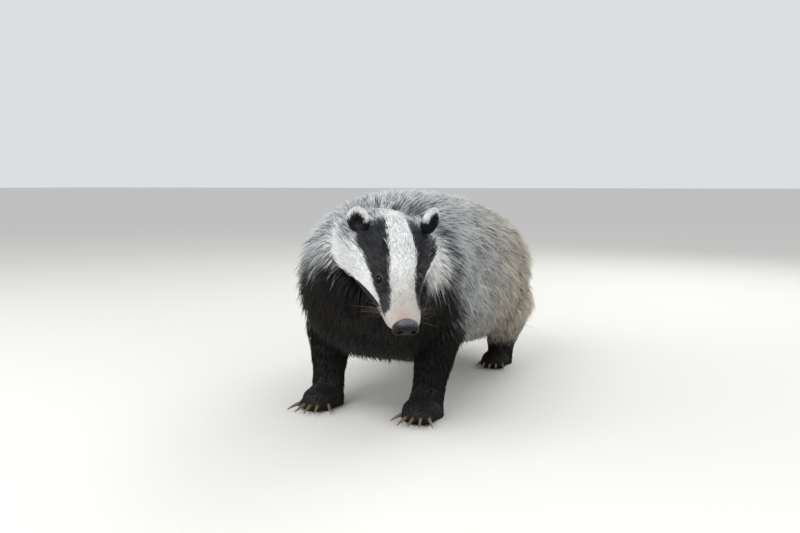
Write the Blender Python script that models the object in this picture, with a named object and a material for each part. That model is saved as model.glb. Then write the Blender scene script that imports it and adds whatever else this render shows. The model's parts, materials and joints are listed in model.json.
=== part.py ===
"""A European badger, life size, standing on four feet with its back arched and its head lowered and turned.

Metres, +Z up. The animal looks along -Y, its left side is +X, and the soles stand on Z = 0.
The spine, head, legs and tail are lofts through named stations, whose sizes reach to the coat's outline.
"""

import math
import random

import bmesh
import bpy
from mathutils import Matrix, Vector
from mathutils.bvhtree import BVHTree

GAP = 0.0003
THINNEST = 0.002
UP = Vector((0, 0, 1))
LEFT = Vector((1, 0, 0))

# Head: the place of the occiput's centre, and how the skull is turned from looking along -Y.
HEAD_AT = (0.084, -0.262, 0.288)
HEAD_YAW = 37.0
HEAD_PITCH = 42.5
HEAD_ROLL = 2.0
HEAD_PARTS = ("head", "eye", "nose", "ear")

# Spine stations: x, y, z of the centre, half width, rise above it, drop below it, squareness of the section.
SPINE = (
    ("rump end", 0.000, 0.416, 0.176, 0.022, 0.020, 0.026, 2.0),
    ("rump", 0.000, 0.398, 0.177, 0.080, 0.067, 0.082, 2.1),
    ("buttock", 0.000, 0.350, 0.181, 0.132, 0.112, 0.127, 2.2),
    ("haunch", 0.000, 0.272, 0.188, 0.163, 0.139, 0.148, 2.3),
    ("loin", 0.000, 0.172, 0.198, 0.162, 0.151, 0.149, 2.3),
    ("ribs", 0.000, 0.070, 0.206, 0.154, 0.154, 0.146, 2.3),
    ("girth", 0.002, -0.020, 0.209, 0.146, 0.151, 0.144, 2.3),
    ("shoulder", 0.010, -0.095, 0.214, 0.138, 0.142, 0.140, 2.3),
    ("collar", 0.026, -0.160, 0.226, 0.125, 0.121, 0.128, 2.2),
    ("neck", 0.050, -0.210, 0.246, 0.103, 0.094, 0.110, 2.1),
    ("nape", 0.070, -0.245, 0.268, 0.082, 0.068, 0.088, 2.0),
    ("poll", 0.083, -0.268, 0.285, 0.055, 0.040, 0.055, 2.0),
    ("poll end", 0.090, -0.280, 0.293, 0.018, 0.012, 0.018, 2.0),
)
# Where the neck meets the torso, how many stations each core runs on past that, and a cutting block's size.
NECK_FROM = 7.5
OVERRUN = 0.6
BLOCK = 1.2
# Puts the middle of the animal's box over the origin.
STANCE = (-0.0004, -0.0662, 0.0)

# Tail stations, in the same order of sizes.
TAIL = (
    ("root", 0.000, 0.362, 0.236, 0.030, 0.026, 0.026, 2.0),
    ("set", 0.000, 0.402, 0.226, 0.034, 0.030, 0.030, 2.0),
    ("upper", 0.000, 0.440, 0.198, 0.036, 0.030, 0.030, 2.0),
    ("middle", 0.000, 0.466, 0.158, 0.033, 0.028, 0.028, 2.0),
    ("lower", 0.000, 0.478, 0.114, 0.024, 0.020, 0.020, 2.0),
    ("tip", 0.000, 0.482, 0.080, 0.008, 0.007, 0.007, 2.0),
)

# Leg stations of the left side, from inside the body down to the foot: half width, then half depth twice.
FORELEG = (
    ("scapula", 0.080, -0.082, 0.210, 0.034, 0.046, 0.044, 2.0),
    ("elbow", 0.096, -0.080, 0.148, 0.044, 0.056, 0.052, 2.0),
    ("forearm", 0.094, -0.090, 0.098, 0.038, 0.043, 0.041, 2.0),
    ("wrist", 0.090, -0.104, 0.054, 0.030, 0.029, 0.029, 2.0),
    ("heel pad", 0.088, -0.112, 0.026, 0.029, 0.026, 0.025, 2.2),
    ("sole", 0.088, -0.114, -0.006, 0.029, 0.028, 0.024, 2.2),
)
HINDLEG = (
    ("hip", 0.086, 0.292, 0.205, 0.036, 0.056, 0.052, 2.0),
    ("thigh", 0.110, 0.276, 0.150, 0.052, 0.086, 0.074, 2.1),
    ("knee", 0.112, 0.268, 0.100, 0.046, 0.070, 0.064, 2.1),
    ("shank", 0.103, 0.278, 0.062, 0.037, 0.047, 0.044, 2.0),
    ("hock", 0.095, 0.290, 0.032, 0.028, 0.030, 0.030, 2.1),
    ("heel", 0.093, 0.290, -0.006, 0.026, 0.026, 0.028, 2.2),
)

# Feet: where the palm's middle stands, its half sizes, toe and claw sizes.
FEET = {
    "fore": dict(at=(0.088, -0.134), palm=(0.032, 0.038, 0.024), toe=0.0105, reach=0.026, claw=0.028),
    "hind": dict(at=(0.092, 0.262), palm=(0.028, 0.042, 0.022), toe=0.0095, reach=0.030, claw=0.016),
}
TOE_ANGLES = (-42, -21, 0, 21, 42)
# How wide the toes fan out, how far they stand from the palm's middle, and how far back the inner one sits.
TOE_FAN = 0.75
TOE_ASIDE = 0.032
TOE_SETBACK = 0.55
# As shares of a toe's size: its height over the ground, and its half width, half length and half height.
TOE_HEIGHT = 0.85
TOE_SHAPE = (0.92, 1.6, 1.0)
PALM_HEIGHT = 0.6

# Claws: where in the toe one starts, how it lifts and then bends down, and its thickness from base to tip.
CLAW_FROM = 0.55
CLAW_LIFT = 0.0015
CLAW_ARCH = 0.0030
CLAW_DROP = 0.0095
CLAW_BASE = 0.0036
CLAW_TIP = 0.0006
CLAW_TAPER = 0.7
CLAW_NARROW = 0.75
CLAW_SECTIONS = 5

# Head stations along the skull: distance ahead of the occiput, half width, top, bottom, squareness.
SKULL = (
    ("back end", -0.050, 0.020, 0.014, 0.020, 2.0),
    ("back", -0.042, 0.040, 0.028, 0.038, 2.0),
    ("crest", -0.020, 0.059, 0.041, 0.052, 2.1),
    ("occiput", 0.005, 0.0660, 0.0470, 0.0560, 2.2),
    ("cheek", 0.030, 0.0655, 0.0475, 0.0530, 2.2),
    ("temple", 0.052, 0.0570, 0.0440, 0.0430, 2.2),
    ("brow", 0.071, 0.0460, 0.0375, 0.0320, 2.3),
    ("eye", 0.089, 0.0365, 0.0295, 0.0235, 2.4),
    ("bridge", 0.107, 0.0292, 0.0230, 0.0185, 2.5),
    ("muzzle", 0.125, 0.0248, 0.0183, 0.0165, 2.5),
    ("lip", 0.140, 0.0220, 0.0148, 0.0150, 2.4),
    ("snout", 0.149, 0.0182, 0.0115, 0.0125, 2.2),
    ("snout end", 0.154, 0.0110, 0.0070, 0.0080, 2.0),
)
# Lower jaw stations: distance ahead of the occiput, height of the centre, half width, rise, drop, squareness.
JAW = (
    ("angle end", 0.000, -0.0300, 0.0300, 0.0120, 0.0180, 2.0),
    ("angle", 0.012, -0.0320, 0.0480, 0.0200, 0.0260, 2.1),
    ("cheek", 0.045, -0.0300, 0.0460, 0.0200, 0.0250, 2.2),
    ("corner", 0.082, -0.0255, 0.0300, 0.0120, 0.0180, 2.3),
    ("body", 0.109, -0.0220, 0.0222, 0.0090, 0.0130, 2.3),
    ("chin", 0.130, -0.0195, 0.0175, 0.0070, 0.0092, 2.2),
    ("chin front", 0.139, -0.0180, 0.0110, 0.0040, 0.0055, 2.0),
)

# The long coat: how deep it stands over the skin, how much of that its core fills, and the size of one lock.
BODY_COAT = dict(depth=0.030, core=0.5, length=0.122, width=0.055, thick=0.0060, spacing=0.079, fewest=6)
NECK_COAT = dict(depth=0.028, core=0.5, length=0.094, width=0.047, thick=0.0055, spacing=0.063, fewest=6)
TAIL_COAT = dict(depth=0.018, core=0.5, length=0.066, width=0.030, thick=0.0050, spacing=0.048, fewest=4)
# How far the tail's locks may stand outside its outline before they would meet the rump's.
TAIL_ROOM = 0.0025
TAIL_PLUG_TO = 1.3
# Along a lock, from root to tip: the shares of its depth below the outline, its width and its thickness.
LOCK_SINK = (0.88, 0.50, 0.20, 0.06, 0.0)
LOCK_TAPER = (0.60, 1.0, 0.95, 0.58, 0.0)
LOCK_THIN = (1.0, 1.0, 0.85, 0.6, 0.0)
# Between which stations the locks of the trunk, the neck and the tail have their roots.
TORSO_ROOTS = (0.8, 7.8)
NECK_ROOTS = (7.7, 11.4)
TAIL_ROOTS = (TAIL_PLUG_TO, 3.8)
# How strongly the hair turns to the ground, and the least flow at which a lock still has a way to lie.
DOWNWARD = 0.75
LEAST_FLOW = 0.35
# Locks under the belly are shorter: the sine of the angle where they begin, and their share of the length.
BELLY_BELOW = -0.6
BELLY_SHARE = 0.72
# What differs from lock to lock: place round the loft and along it, length, sideways bend and tilt.
AROUND_JITTER = 0.12
ALONG_JITTER = 0.1
LENGTH_SHARES = (0.9, 1.08)
MOST_BEND = 0.25
MOST_TILT = 0.10
END_MARGIN = 0.1
SEED = 11

# Eyes, lids, nose and ears, in the head's own frame: the animal's left, behind the occiput, and up.
EYE_AT = (0.0252, -0.0880, 0.0180)
EYE_RADIUS = 0.0060
EYE_OUT = (0.72, -0.40, 0.55)
LID_RISE = 0.0040
LID_RING = (0.0048, 0.0016)
LID_STRETCH = 1.22
NOSE_AT = (0.0, -0.1495, 0.0005)
NOSE_HALF = (0.0168, 0.0105, 0.0122)
NOSTRIL_AT = (0.0080, -0.1595, -0.0004)
NOSTRIL_HALF = (0.0034, 0.0050, 0.0027)
NOSTRIL_SLIT_AT = (0.0132, -0.1555, -0.0028)
NOSTRIL_SLIT_HALF = (0.0045, 0.0050, 0.0011)
EAR_AT = (0.0490, -0.0050, 0.0400)
# Both ears are carried a little to the left.
EAR_ASIDE = 0.0045
EAR_HALF = (0.0165, 0.0082, 0.0195)
EAR_CUP_AT = (0.0, -0.0070, -0.0030)
EAR_CUP_HALF = (0.0098, 0.0070, 0.0112)
EAR_TURN = 28.0
EAR_LEAN = 16.0
EAR_BACK = 12.0

# The line of the mouth: (ahead, height) where it runs along one side, then (across, height) round the front.
MOUTH_SIDE = ((0.083, -0.0195), (0.095, -0.0178), (0.108, -0.0160), (0.121, -0.0150), (0.133, -0.0143))
MOUTH_FRONT = ((0.0120, -0.0143), (0.0060, -0.0146))
MOUTH_MIDDLE = -0.0148
MOUTH_RADIUS = 0.0013
MOUTH_SIDES = 5
# A distance from the head's middle that is clear of the head on every side.
OUTSIDE = 0.3

# How finely each form is meshed: points round a section, then sections.
TORSO_MESH = (20, 13)
NECK_MESH = (18, 9)
TAIL_MESH = (10, 9)
LIMB_MESH = (14, 9)
PLUG_MESH = (14, 4)
SKULL_MESH = (24, 21)
JAW_MESH = (16, 10)
CLAW_MESH = (5, 4)
# The same for a ball: segments, then rings.
EAR_MESH = (14, 9)
CUP_MESH = (12, 7)
EYE_MESH = (10, 7)
NOSE_MESH = (14, 9)
NOSTRIL_MESH = (7, 5)
PALM_MESH = (10, 7)
TOE_MESH = (7, 5)


def principled(name, colour, roughness):
    """A material with the sub-part's colour and roughness."""
    material = bpy.data.materials.new(name)
    material.use_nodes = True
    shader = material.node_tree.nodes["Principled BSDF"]
    shader.inputs["Base Color"].default_value = (*colour, 1)
    shader.inputs["Roughness"].default_value = roughness
    return material


def add_object(name, mesh_builder, collection, material=None):
    """An object whose mesh is the bmesh that is handed in, which is freed."""
    bmesh.ops.recalc_face_normals(mesh_builder, faces=mesh_builder.faces)
    mesh = bpy.data.meshes.new(name)
    mesh_builder.to_mesh(mesh)
    mesh_builder.free()
    obj = bpy.data.objects.new(name, mesh)
    if material:
        mesh.materials.append(material)
    mesh.shade_smooth()
    collection.objects.link(obj)
    return obj


def add_empty(name, matrix, collection, parent=None):
    """An empty that holds a place, so that what hangs on it moves with it."""
    empty = bpy.data.objects.new(name, None)
    empty.empty_display_size = 0.05
    empty.parent = parent
    empty.matrix_local = matrix
    collection.objects.link(empty)
    return empty


def signed_power(value, power):
    """The value's power, with the value's own sign."""
    return math.copysign(abs(value) ** power, value)


class Loft:
    """A closed form through oval sections along a centre line, with sizes between stations on a smooth curve.

    The sections stand square to the centre line, or lie level where the line runs down.
    """

    def __init__(self, stations, across=LEFT, matrix=None, level=False):
        self.rows = [tuple(station[1:]) for station in stations]
        self.across = across
        self.level = level
        self.matrix = matrix or Matrix()
        self.last = len(self.rows) - 1

    def sizes(self, t):
        """The seven sizes at station number t, whole or between two."""
        index = min(int(t), self.last - 1)
        share = t - index
        before = self.rows[max(index - 1, 0)]
        start, end = self.rows[index], self.rows[index + 1]
        after = self.rows[min(index + 2, self.last)]
        square, cube = share * share, share ** 3
        weights = (
            (-cube + 2 * square - share) / 2,
            (3 * cube - 5 * square + 2) / 2,
            (-3 * cube + 4 * square + share) / 2,
            (cube - square) / 2,
        )
        return [sum(w * v for w, v in zip(weights, four)) for four in zip(before, start, end, after)]

    def centre(self, t):
        """The centre line's point at station number t."""
        return Vector(self.sizes(t)[:3])

    def frame(self, t):
        """Directions at t: along the centre line, to the animal's left, and away from the belly."""
        if self.level:
            return -UP, LEFT, LEFT.cross(UP)
        step = 0.02
        along = (self.centre(min(t + step, self.last)) - self.centre(max(t - step, 0))).normalized()
        side = (self.across - along * self.across.dot(along)).normalized()
        return along, side, along.cross(side)

    def point(self, t, angle, grow=0.0):
        """The surface point at station number t and an angle from the left side, moved outwards by grow."""
        x, y, z, half, rise, drop, power = self.sizes(t)
        _, side, over = self.frame(t)
        cos, sin = math.cos(angle), math.sin(angle)
        wide = max(half + grow, THINNEST)
        tall = max((rise if sin > 0 else drop) + grow, THINNEST)
        local = Vector((x, y, z)) + side * (wide * signed_power(cos, 2 / power))
        local += over * (tall * signed_power(sin, 2 / power))
        return self.matrix @ local

    def ring(self, t, points, grow=0.0, shift=0.0):
        """One section's points, moved along the centre line by shift."""
        push = self.matrix.to_3x3() @ self.frame(t)[0] * shift
        return [self.point(t, 2 * math.pi * k / points, grow) + push for k in range(points)]

    def speed(self, t):
        """Metres along the flank for each station at t."""
        step = 0.05
        low, high = max(t - step, 0), min(t + step, self.last)
        widening = self.sizes(high)[3] - self.sizes(low)[3]
        return math.hypot((self.centre(high) - self.centre(low)).length, widening) / (high - low)

    def tangents(self, t, angle, grow):
        """The surface point, and how it moves with t and with the angle."""
        step = 0.01
        here = self.point(t, angle, grow)
        by_t = (self.point(t + step, angle, grow) - here) / step
        by_angle = (self.point(t, angle + step, grow) - here) / step
        return here, by_t, by_angle

    def build(self, points, rings, start=0.0, end=None, grow=0.0, start_shift=0.0):
        """A closed bmesh from station start to station end."""
        end = self.last if end is None else end
        made = bmesh.new()
        loops = []
        for k in range(rings):
            t = start + (end - start) * k / (rings - 1)
            shift = start_shift if k == 0 else 0.0
            if grow:
                shift += {0: -grow, rings - 1: grow}.get(k, 0.0)
            loops.append([made.verts.new(p) for p in self.ring(t, points, grow, shift)])
        for low, high in zip(loops, loops[1:]):
            for k in range(points):
                n = (k + 1) % points
                made.faces.new((low[k], low[n], high[n]))
                made.faces.new((low[k], high[n], high[k]))
        made.faces.new(list(reversed(loops[0])))
        made.faces.new(loops[-1])
        return made


class Coat:
    """Flat, tapered locks that grow from a loft's core and lie along it, out to the loft's outline."""

    def __init__(self, loft, sizes, towards, seed):
        self.loft = loft
        self.sizes = sizes
        self.towards = towards
        self.draw = random.Random(seed)

    def flow(self, t, normal):
        """The way the hair lies: along the loft and down. It is short where the surface faces that way."""
        lie = self.loft.frame(t)[0] * self.towards - UP * DOWNWARD
        return lie - normal * lie.dot(normal)

    def surface(self, t, angle, sink):
        """The place a share of the coat's depth below the outline, its spoke and normal, and how it moves."""
        here, by_t, by_angle = self.loft.tangents(t, angle, -self.sizes["depth"] * sink)
        spoke = here - self.loft.matrix @ self.loft.centre(t)
        normal = by_t.cross(by_angle).normalized()
        return here, spoke, normal if normal.dot(spoke) > 0 else -normal, by_t, by_angle

    def room(self, t):
        """How far the surface runs on from t before the loft ends, the way that the hair lies."""
        end = self.loft.last - END_MARGIN if self.towards > 0 else END_MARGIN
        narrowing = self.loft.sizes(t)[3] - self.loft.sizes(end)[3]
        return (self.loft.centre(t) - self.loft.centre(end)).length + narrowing

    def stations(self, start, end):
        """Station numbers a lock's spacing apart."""
        t = start
        while t < end:
            yield t
            t += self.sizes["spacing"] / self.loft.speed(t)

    def places(self, start, end):
        """Roots spread evenly over the loft between two stations, each row half a place on from the last."""
        for row, t in enumerate(self.stations(start, end)):
            _, _, _, half, rise, drop, _ = self.loft.sizes(t)
            round_about = math.pi * (half + (rise + drop) / 2)
            count = max(self.sizes["fewest"], round(round_about / self.sizes["spacing"]))
            for k in range(count):
                jitter = self.draw.uniform(-AROUND_JITTER, AROUND_JITTER)
                angle = 2 * math.pi * (k + 0.5 * (row % 2) + jitter) / count
                root = t + self.draw.uniform(-ALONG_JITTER, ALONG_JITTER)
                if self.flow(root, self.surface(root, angle, 0.0)[2]).length > LEAST_FLOW:
                    yield root, angle

    def lock(self, t, angle):
        """One lock, as a closed bmesh with a lens for its section."""
        size = self.sizes
        share = self.draw.uniform(*LENGTH_SHARES)
        if math.sin(angle) < BELLY_BELOW:
            share *= BELLY_SHARE
        bend = self.draw.uniform(-MOST_BEND, MOST_BEND)
        tilt = self.draw.uniform(-MOST_TILT, MOST_TILT)
        made = bmesh.new()
        loops = []
        reach = min(size["length"] * share, self.room(t)) / (len(LOCK_SINK) - 1)
        for k, (sink, taper, thin) in enumerate(zip(LOCK_SINK, LOCK_TAPER, LOCK_THIN)):
            here, spoke, normal, by_t, by_angle = self.surface(t, angle, sink)
            flow = self.flow(t, normal).normalized()
            flow = (flow + flow.cross(normal) * bend * k).normalized()
            across = flow.cross(normal)
            half = size["width"] * share * taper / 2
            thick = size["thick"] * thin / 2
            if taper:
                tilted = (across + normal * tilt).normalized() * half
                sag = normal * (half * half / (2 * spoke.length))
                corners = (tilted - sag, normal * thick, -tilted - sag, -normal * thick)
                loops.append([made.verts.new(here + corner) for corner in corners])
            else:
                tip = made.verts.new(here)
            t, angle = self.step(t, angle, flow * reach, by_t, by_angle)
        for low, high in zip(loops, loops[1:]):
            for k in range(4):
                n = (k + 1) % 4
                made.faces.new((low[k], low[n], high[n]))
                made.faces.new((low[k], high[n], high[k]))
        made.faces.new(list(reversed(loops[0])))
        for k in range(4):
            made.faces.new((loops[-1][k], loops[-1][(k + 1) % 4], tip))
        return made

    def step(self, t, angle, move, by_t, by_angle):
        """The place on the loft that lies a move away, within its ends."""
        tt, ta, aa = by_t.dot(by_t), by_t.dot(by_angle), by_angle.dot(by_angle)
        mt, ma = by_t.dot(move), by_angle.dot(move)
        whole = max(tt * aa - ta * ta, 1e-12)
        t += (mt * aa - ma * ta) / whole
        angle += (ma * tt - mt * ta) / whole
        return min(max(t, END_MARGIN), self.loft.last - END_MARGIN), angle


def ellipsoid(at, half, fineness, matrix=None, grow=0.0):
    """A ball of three half sizes, meshed with the segments and rings of its fineness."""
    made = bmesh.new()
    place = (matrix or Matrix()) @ Matrix.Translation(at) @ Matrix.Diagonal([*(h + grow for h in half), 1])
    segments, rings = fineness
    bmesh.ops.create_uvsphere(made, u_segments=segments, v_segments=rings, radius=1, matrix=place)
    return made


def torus(at, major, minor, matrix, stretch=1.0, segments=14, sides=5):
    """A ring of round section about the matrix's Z axis, longer along its X axis by stretch."""
    made = bmesh.new()
    loops = []
    for k in range(segments):
        turn = 2 * math.pi * k / segments
        loop = []
        for j in range(sides):
            roll = 2 * math.pi * j / sides
            reach = major + minor * math.cos(roll)
            local = Vector((reach * math.cos(turn) * stretch, reach * math.sin(turn), minor * math.sin(roll)))
            loop.append(made.verts.new(matrix @ (Vector(at) + local)))
        loops.append(loop)
    for k, loop in enumerate(loops):
        following = loops[(k + 1) % segments]
        for j in range(sides):
            n = (j + 1) % sides
            made.faces.new((loop[j], loop[n], following[n], following[j]))
    return made


def mirrored(place):
    """The same place on the animal's right side."""
    return (-place[0], *place[1:])


def both(place):
    """A place on the left side, then its mirror image."""
    return place, mirrored(place)


def boolean(target, tools, operation, solver="EXACT"):
    """Joins the tools to the target or cuts them from it, and removes them.

    MANIFOLD is for pieces that cross many others, where EXACT leaves doubled faces.
    """
    group = bpy.data.collections.new("tools")
    bpy.context.scene.collection.children.link(group)
    for tool in tools:
        group.objects.link(tool)
    modifier = target.modifiers.new(operation, "BOOLEAN")
    modifier.operation = operation
    modifier.operand_type = "COLLECTION"
    modifier.collection = group
    modifier.solver = solver
    bpy.context.view_layer.objects.active = target
    bpy.ops.object.modifier_apply(modifier=modifier.name)
    for tool in tools:
        bpy.data.objects.remove(tool)
    bpy.data.collections.remove(group)
    keep_largest(target)


def keep_largest(obj):
    """Keeps the mesh's largest closed surface."""
    made = bmesh.new()
    made.from_mesh(obj.data)
    unseen = set(made.faces)
    shells = []
    while unseen:
        shell, rim = set(), {unseen.pop()}
        while rim:
            shell |= rim
            rim = {near for face in rim for edge in face.edges for near in edge.link_faces} - shell
        unseen -= shell
        shells.append(shell)
    largest = max(shells, key=len)
    bmesh.ops.delete(made, geom=[face for face in made.faces if face not in largest], context="FACES")
    made.to_mesh(obj.data)
    made.free()


class Badger:
    """The animal's sub-parts, each an object of its own."""

    def __init__(self, collection, scratch):
        self.collection = collection
        self.scratch = scratch
        turn = (
            Matrix.Rotation(math.radians(HEAD_YAW), 4, "Z")
            @ Matrix.Rotation(math.radians(HEAD_PITCH), 4, "X")
            @ Matrix.Rotation(math.radians(HEAD_ROLL), 4, "Y")
        )
        self.head_matrix = Matrix.Translation(HEAD_AT) @ turn
        self.spine = Loft(SPINE)
        self.tail = Loft(TAIL)
        skull = [(name, 0, -ahead, 0, *sizes) for name, ahead, *sizes in SKULL]
        jaw = [(name, 0, -ahead, height, *sizes) for name, ahead, height, *sizes in JAW]
        self.skull = Loft(skull, LEFT, self.head_matrix)
        self.jaw = Loft(jaw, LEFT, self.head_matrix)
        self.coat_grey = principled("grey coat", (0.42, 0.41, 0.39), 0.8)
        self.coat_black = principled("black coat", (0.03, 0.027, 0.025), 0.8)
        self.coat_white = principled("white coat", (0.80, 0.79, 0.76), 0.8)
        self.horn = principled("claw horn", (0.22, 0.18, 0.14), 0.4)
        self.wet_skin = principled("nose skin", (0.10, 0.08, 0.08), 0.35)
        self.eye_glass = principled("eye", (0.01, 0.008, 0.006), 0.08)

    def tool(self, made):
        """A piece that a Boolean uses and removes."""
        return add_object("tool", made, self.scratch)

    def legs(self):
        """The four legs as (name, side, loft, foot)."""
        for pair, stations in (("fore", FORELEG), ("hind", HINDLEG)):
            for name, side in (("left", 1), ("right", -1)):
                rows = [(s[0], s[1] * side, *s[2:]) for s in stations]
                yield f"{pair}leg_{name}", side, Loft(rows, level=True), FEET[pair]

    def toes(self, side, foot):
        """The five toes' middles and the way that each points."""
        x, y = foot["at"]
        for number, degrees in enumerate(TOE_ANGLES):
            angle = math.radians(degrees * side)
            way = Vector((math.sin(angle) * TOE_FAN, -math.cos(angle), 0)).normalized()
            reach = foot["reach"] * (TOE_SETBACK if number == 0 else 1.0)
            palm = Vector((x * side, y, foot["toe"] * TOE_HEIGHT))
            place = palm + Vector((way.x * TOE_ASIDE, way.y * reach, 0))
            yield number, place, way

    def claw(self, place, way, foot, grow=0.0):
        """A tapered claw that bends down towards the ground from inside its toe."""
        start = place + way * (foot["toe"] * CLAW_FROM) + UP * CLAW_LIFT
        rows = []
        for k in range(CLAW_SECTIONS):
            share = k / (CLAW_SECTIONS - 1)
            at = start + way * (foot["claw"] * share) + UP * (CLAW_ARCH * share - CLAW_DROP * share * share)
            thick = CLAW_BASE * (1 - share) ** CLAW_TAPER + CLAW_TIP
            rows.append((k, *at, thick * CLAW_NARROW, thick, thick, 2.0))
        return Loft(rows, across=way.cross(UP)).build(*CLAW_MESH, grow=grow)

    def leg_sleeves(self):
        """The legs with the gap round them, which cut their sockets."""
        return [self.tool(loft.build(*LIMB_MESH, grow=GAP)) for _, _, loft, _ in self.legs()]

    def coated(self, name, coat, ends, fineness, roots, cuts, joined=()):
        """A core between two stations, with locks and other pieces joined on, less the cutters."""
        size = coat.sizes
        core = coat.loft.build(*fineness, *ends, grow=-size["depth"] * size["core"])
        obj = add_object(name, core, self.collection, self.coat_grey)
        locks = [self.tool(coat.lock(*place)) for place in coat.places(*roots)]
        boolean(obj, [*locks, *joined], "UNION", "MANIFOLD")
        if cuts:
            boolean(obj, cuts, "DIFFERENCE", "MANIFOLD")

    def half_space(self, side):
        """A block on one side of the plane where neck and torso meet, with half the gap between the two."""
        along = self.spine.frame(NECK_FROM)[0]
        place = self.spine.centre(NECK_FROM) + along * side * (BLOCK / 2 - GAP / 2)
        made = bmesh.new()
        turn = Matrix.Translation(place) @ along.to_track_quat("Z", "Y").to_matrix().to_4x4()
        bmesh.ops.create_cube(made, size=BLOCK, matrix=turn)
        return self.tool(made)

    def torso(self):
        """The trunk from the rump to the shoulder, with sockets for the legs and the tail."""
        cuts = self.leg_sleeves() + [self.half_space(1)]
        cuts.append(self.tool(self.tail.build(*LIMB_MESH, grow=TAIL_ROOM)))
        coat = Coat(self.spine, BODY_COAT, -1, SEED)
        self.coated("torso", coat, (0.0, NECK_FROM + OVERRUN), TORSO_MESH, TORSO_ROOTS, cuts)

    def neck(self):
        """The neck, hollowed at the front where the head's back and the ears sit in it."""
        cuts = [self.tool(self.skull.build(*SKULL_MESH, grow=GAP))]
        cuts.append(self.tool(self.jaw.build(*JAW_MESH, grow=GAP)))
        cuts += [self.ear_outer(side, GAP) for side in (1, -1)]
        cuts += self.leg_sleeves() + [self.half_space(-1)]
        coat = Coat(self.spine, NECK_COAT, -1, SEED + 1)
        self.coated("neck", coat, (NECK_FROM - OVERRUN, self.spine.last), NECK_MESH, NECK_ROOTS, cuts)

    def tail_piece(self):
        """The short hanging tail, whose root fills its socket in the rump."""
        plug = self.tool(self.tail.build(*PLUG_MESH, 0.0, TAIL_PLUG_TO, start_shift=GAP - TAIL_ROOM))
        coat = Coat(self.tail, TAIL_COAT, 1, SEED + 2)
        self.coated("tail", coat, (0.0, self.tail.last), TAIL_MESH, TAIL_ROOTS, [], [plug])

    def head(self):
        """The skull and lower jaw with lids, cut for the eyes, the nose pad and the line of the mouth."""
        obj = add_object("head", self.skull.build(*SKULL_MESH), self.collection, self.coat_white)
        joined = [self.tool(self.jaw.build(*JAW_MESH))]
        joined += [self.lid(side) for side in (1, -1)]
        boolean(obj, joined, "UNION")
        cuts = [self.tool(self.eyeball(place, GAP)) for place in both(EYE_AT)]
        cuts.append(self.tool(ellipsoid(NOSE_AT, NOSE_HALF, NOSE_MESH, self.head_matrix, GAP)))
        cuts.append(self.mouth(obj))
        boolean(obj, cuts, "DIFFERENCE")

    def lid(self, side):
        """The rim of skin round one eye."""
        out = Vector((EYE_OUT[0] * side, *EYE_OUT[1:])).normalized()
        middle = Vector((EYE_AT[0] * side, *EYE_AT[1:])) + out * LID_RISE
        along = (Vector((0, 1, 0)) - out * out.y).normalized()
        frame = Matrix((along, out.cross(along), out)).transposed().to_4x4()
        matrix = self.head_matrix @ Matrix.Translation(middle) @ frame
        return self.tool(torus((0, 0, 0), *LID_RING, matrix, LID_STRETCH))

    def mouth(self, obj):
        """A thin tube that lies half sunk in the head along the line of the mouth."""
        made = bmesh.new()
        made.from_mesh(obj.data)
        made.transform(self.head_matrix.inverted())
        tree = BVHTree.FromBMesh(made)
        made.free()
        back = Vector((0, 1, 0))
        half = [tree.ray_cast(Vector((OUTSIDE, -ahead, z)), -LEFT)[0] for ahead, z in MOUTH_SIDE]
        half += [tree.ray_cast(Vector((x, -OUTSIDE, z)), back)[0] for x, z in MOUTH_FRONT]
        middle = tree.ray_cast(Vector((0, -OUTSIDE, MOUTH_MIDDLE)), back)[0]
        path = half + [middle] + [Vector(mirrored(p)) for p in reversed(half)]
        rows = [(k, *point, *[MOUTH_RADIUS] * 3, 2.0) for k, point in enumerate(path)]
        return self.tool(Loft(rows, UP, self.head_matrix).build(MOUTH_SIDES, len(rows)))

    def eyeball(self, place, grow=0.0):
        """One eyeball."""
        return ellipsoid(place, [EYE_RADIUS] * 3, EYE_MESH, self.head_matrix, grow)

    def eyes(self):
        """The two eyeballs."""
        for name, place in zip(("left", "right"), both(EYE_AT)):
            add_object(f"eye_{name}", self.eyeball(place), self.collection, self.eye_glass)

    def nose(self):
        """The nose pad with its two nostrils, each with a slit to the side."""
        pad = ellipsoid(NOSE_AT, NOSE_HALF, NOSE_MESH, self.head_matrix)
        obj = add_object("nose", pad, self.collection, self.wet_skin)
        cuts = []
        for place, half in ((NOSTRIL_AT, NOSTRIL_HALF), (NOSTRIL_SLIT_AT, NOSTRIL_SLIT_HALF)):
            cuts += [self.tool(ellipsoid(p, half, NOSTRIL_MESH, self.head_matrix)) for p in both(place)]
        boolean(obj, cuts, "DIFFERENCE")

    def ear_matrix(self, side):
        """The ear's own frame: width along X, opening towards -Y, height along Z."""
        place = Matrix.Translation((EAR_AT[0] * side + EAR_ASIDE, *EAR_AT[1:]))
        turn = (
            Matrix.Rotation(math.radians(EAR_TURN * side), 4, "Z")
            @ Matrix.Rotation(math.radians(EAR_LEAN * side), 4, "Y")
            @ Matrix.Rotation(math.radians(-EAR_BACK), 4, "X")
        )
        return self.head_matrix @ place @ turn

    def ear_outer(self, side, grow=0.0):
        """The ear's outer form without its cup."""
        return self.tool(ellipsoid((0, 0, 0), EAR_HALF, EAR_MESH, self.ear_matrix(side), grow))

    def ears(self):
        """Two small round ears, each a cup open to the front."""
        for name, side in (("left", 1), ("right", -1)):
            matrix = self.ear_matrix(side)
            outer = ellipsoid((0, 0, 0), EAR_HALF, EAR_MESH, matrix)
            obj = add_object(f"ear_{name}", outer, self.collection, self.coat_black)
            cup = ellipsoid(EAR_CUP_AT, EAR_CUP_HALF, CUP_MESH, matrix)
            skull = self.skull.build(*SKULL_MESH, grow=GAP)
            boolean(obj, [self.tool(cup), self.tool(skull)], "DIFFERENCE")

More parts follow.
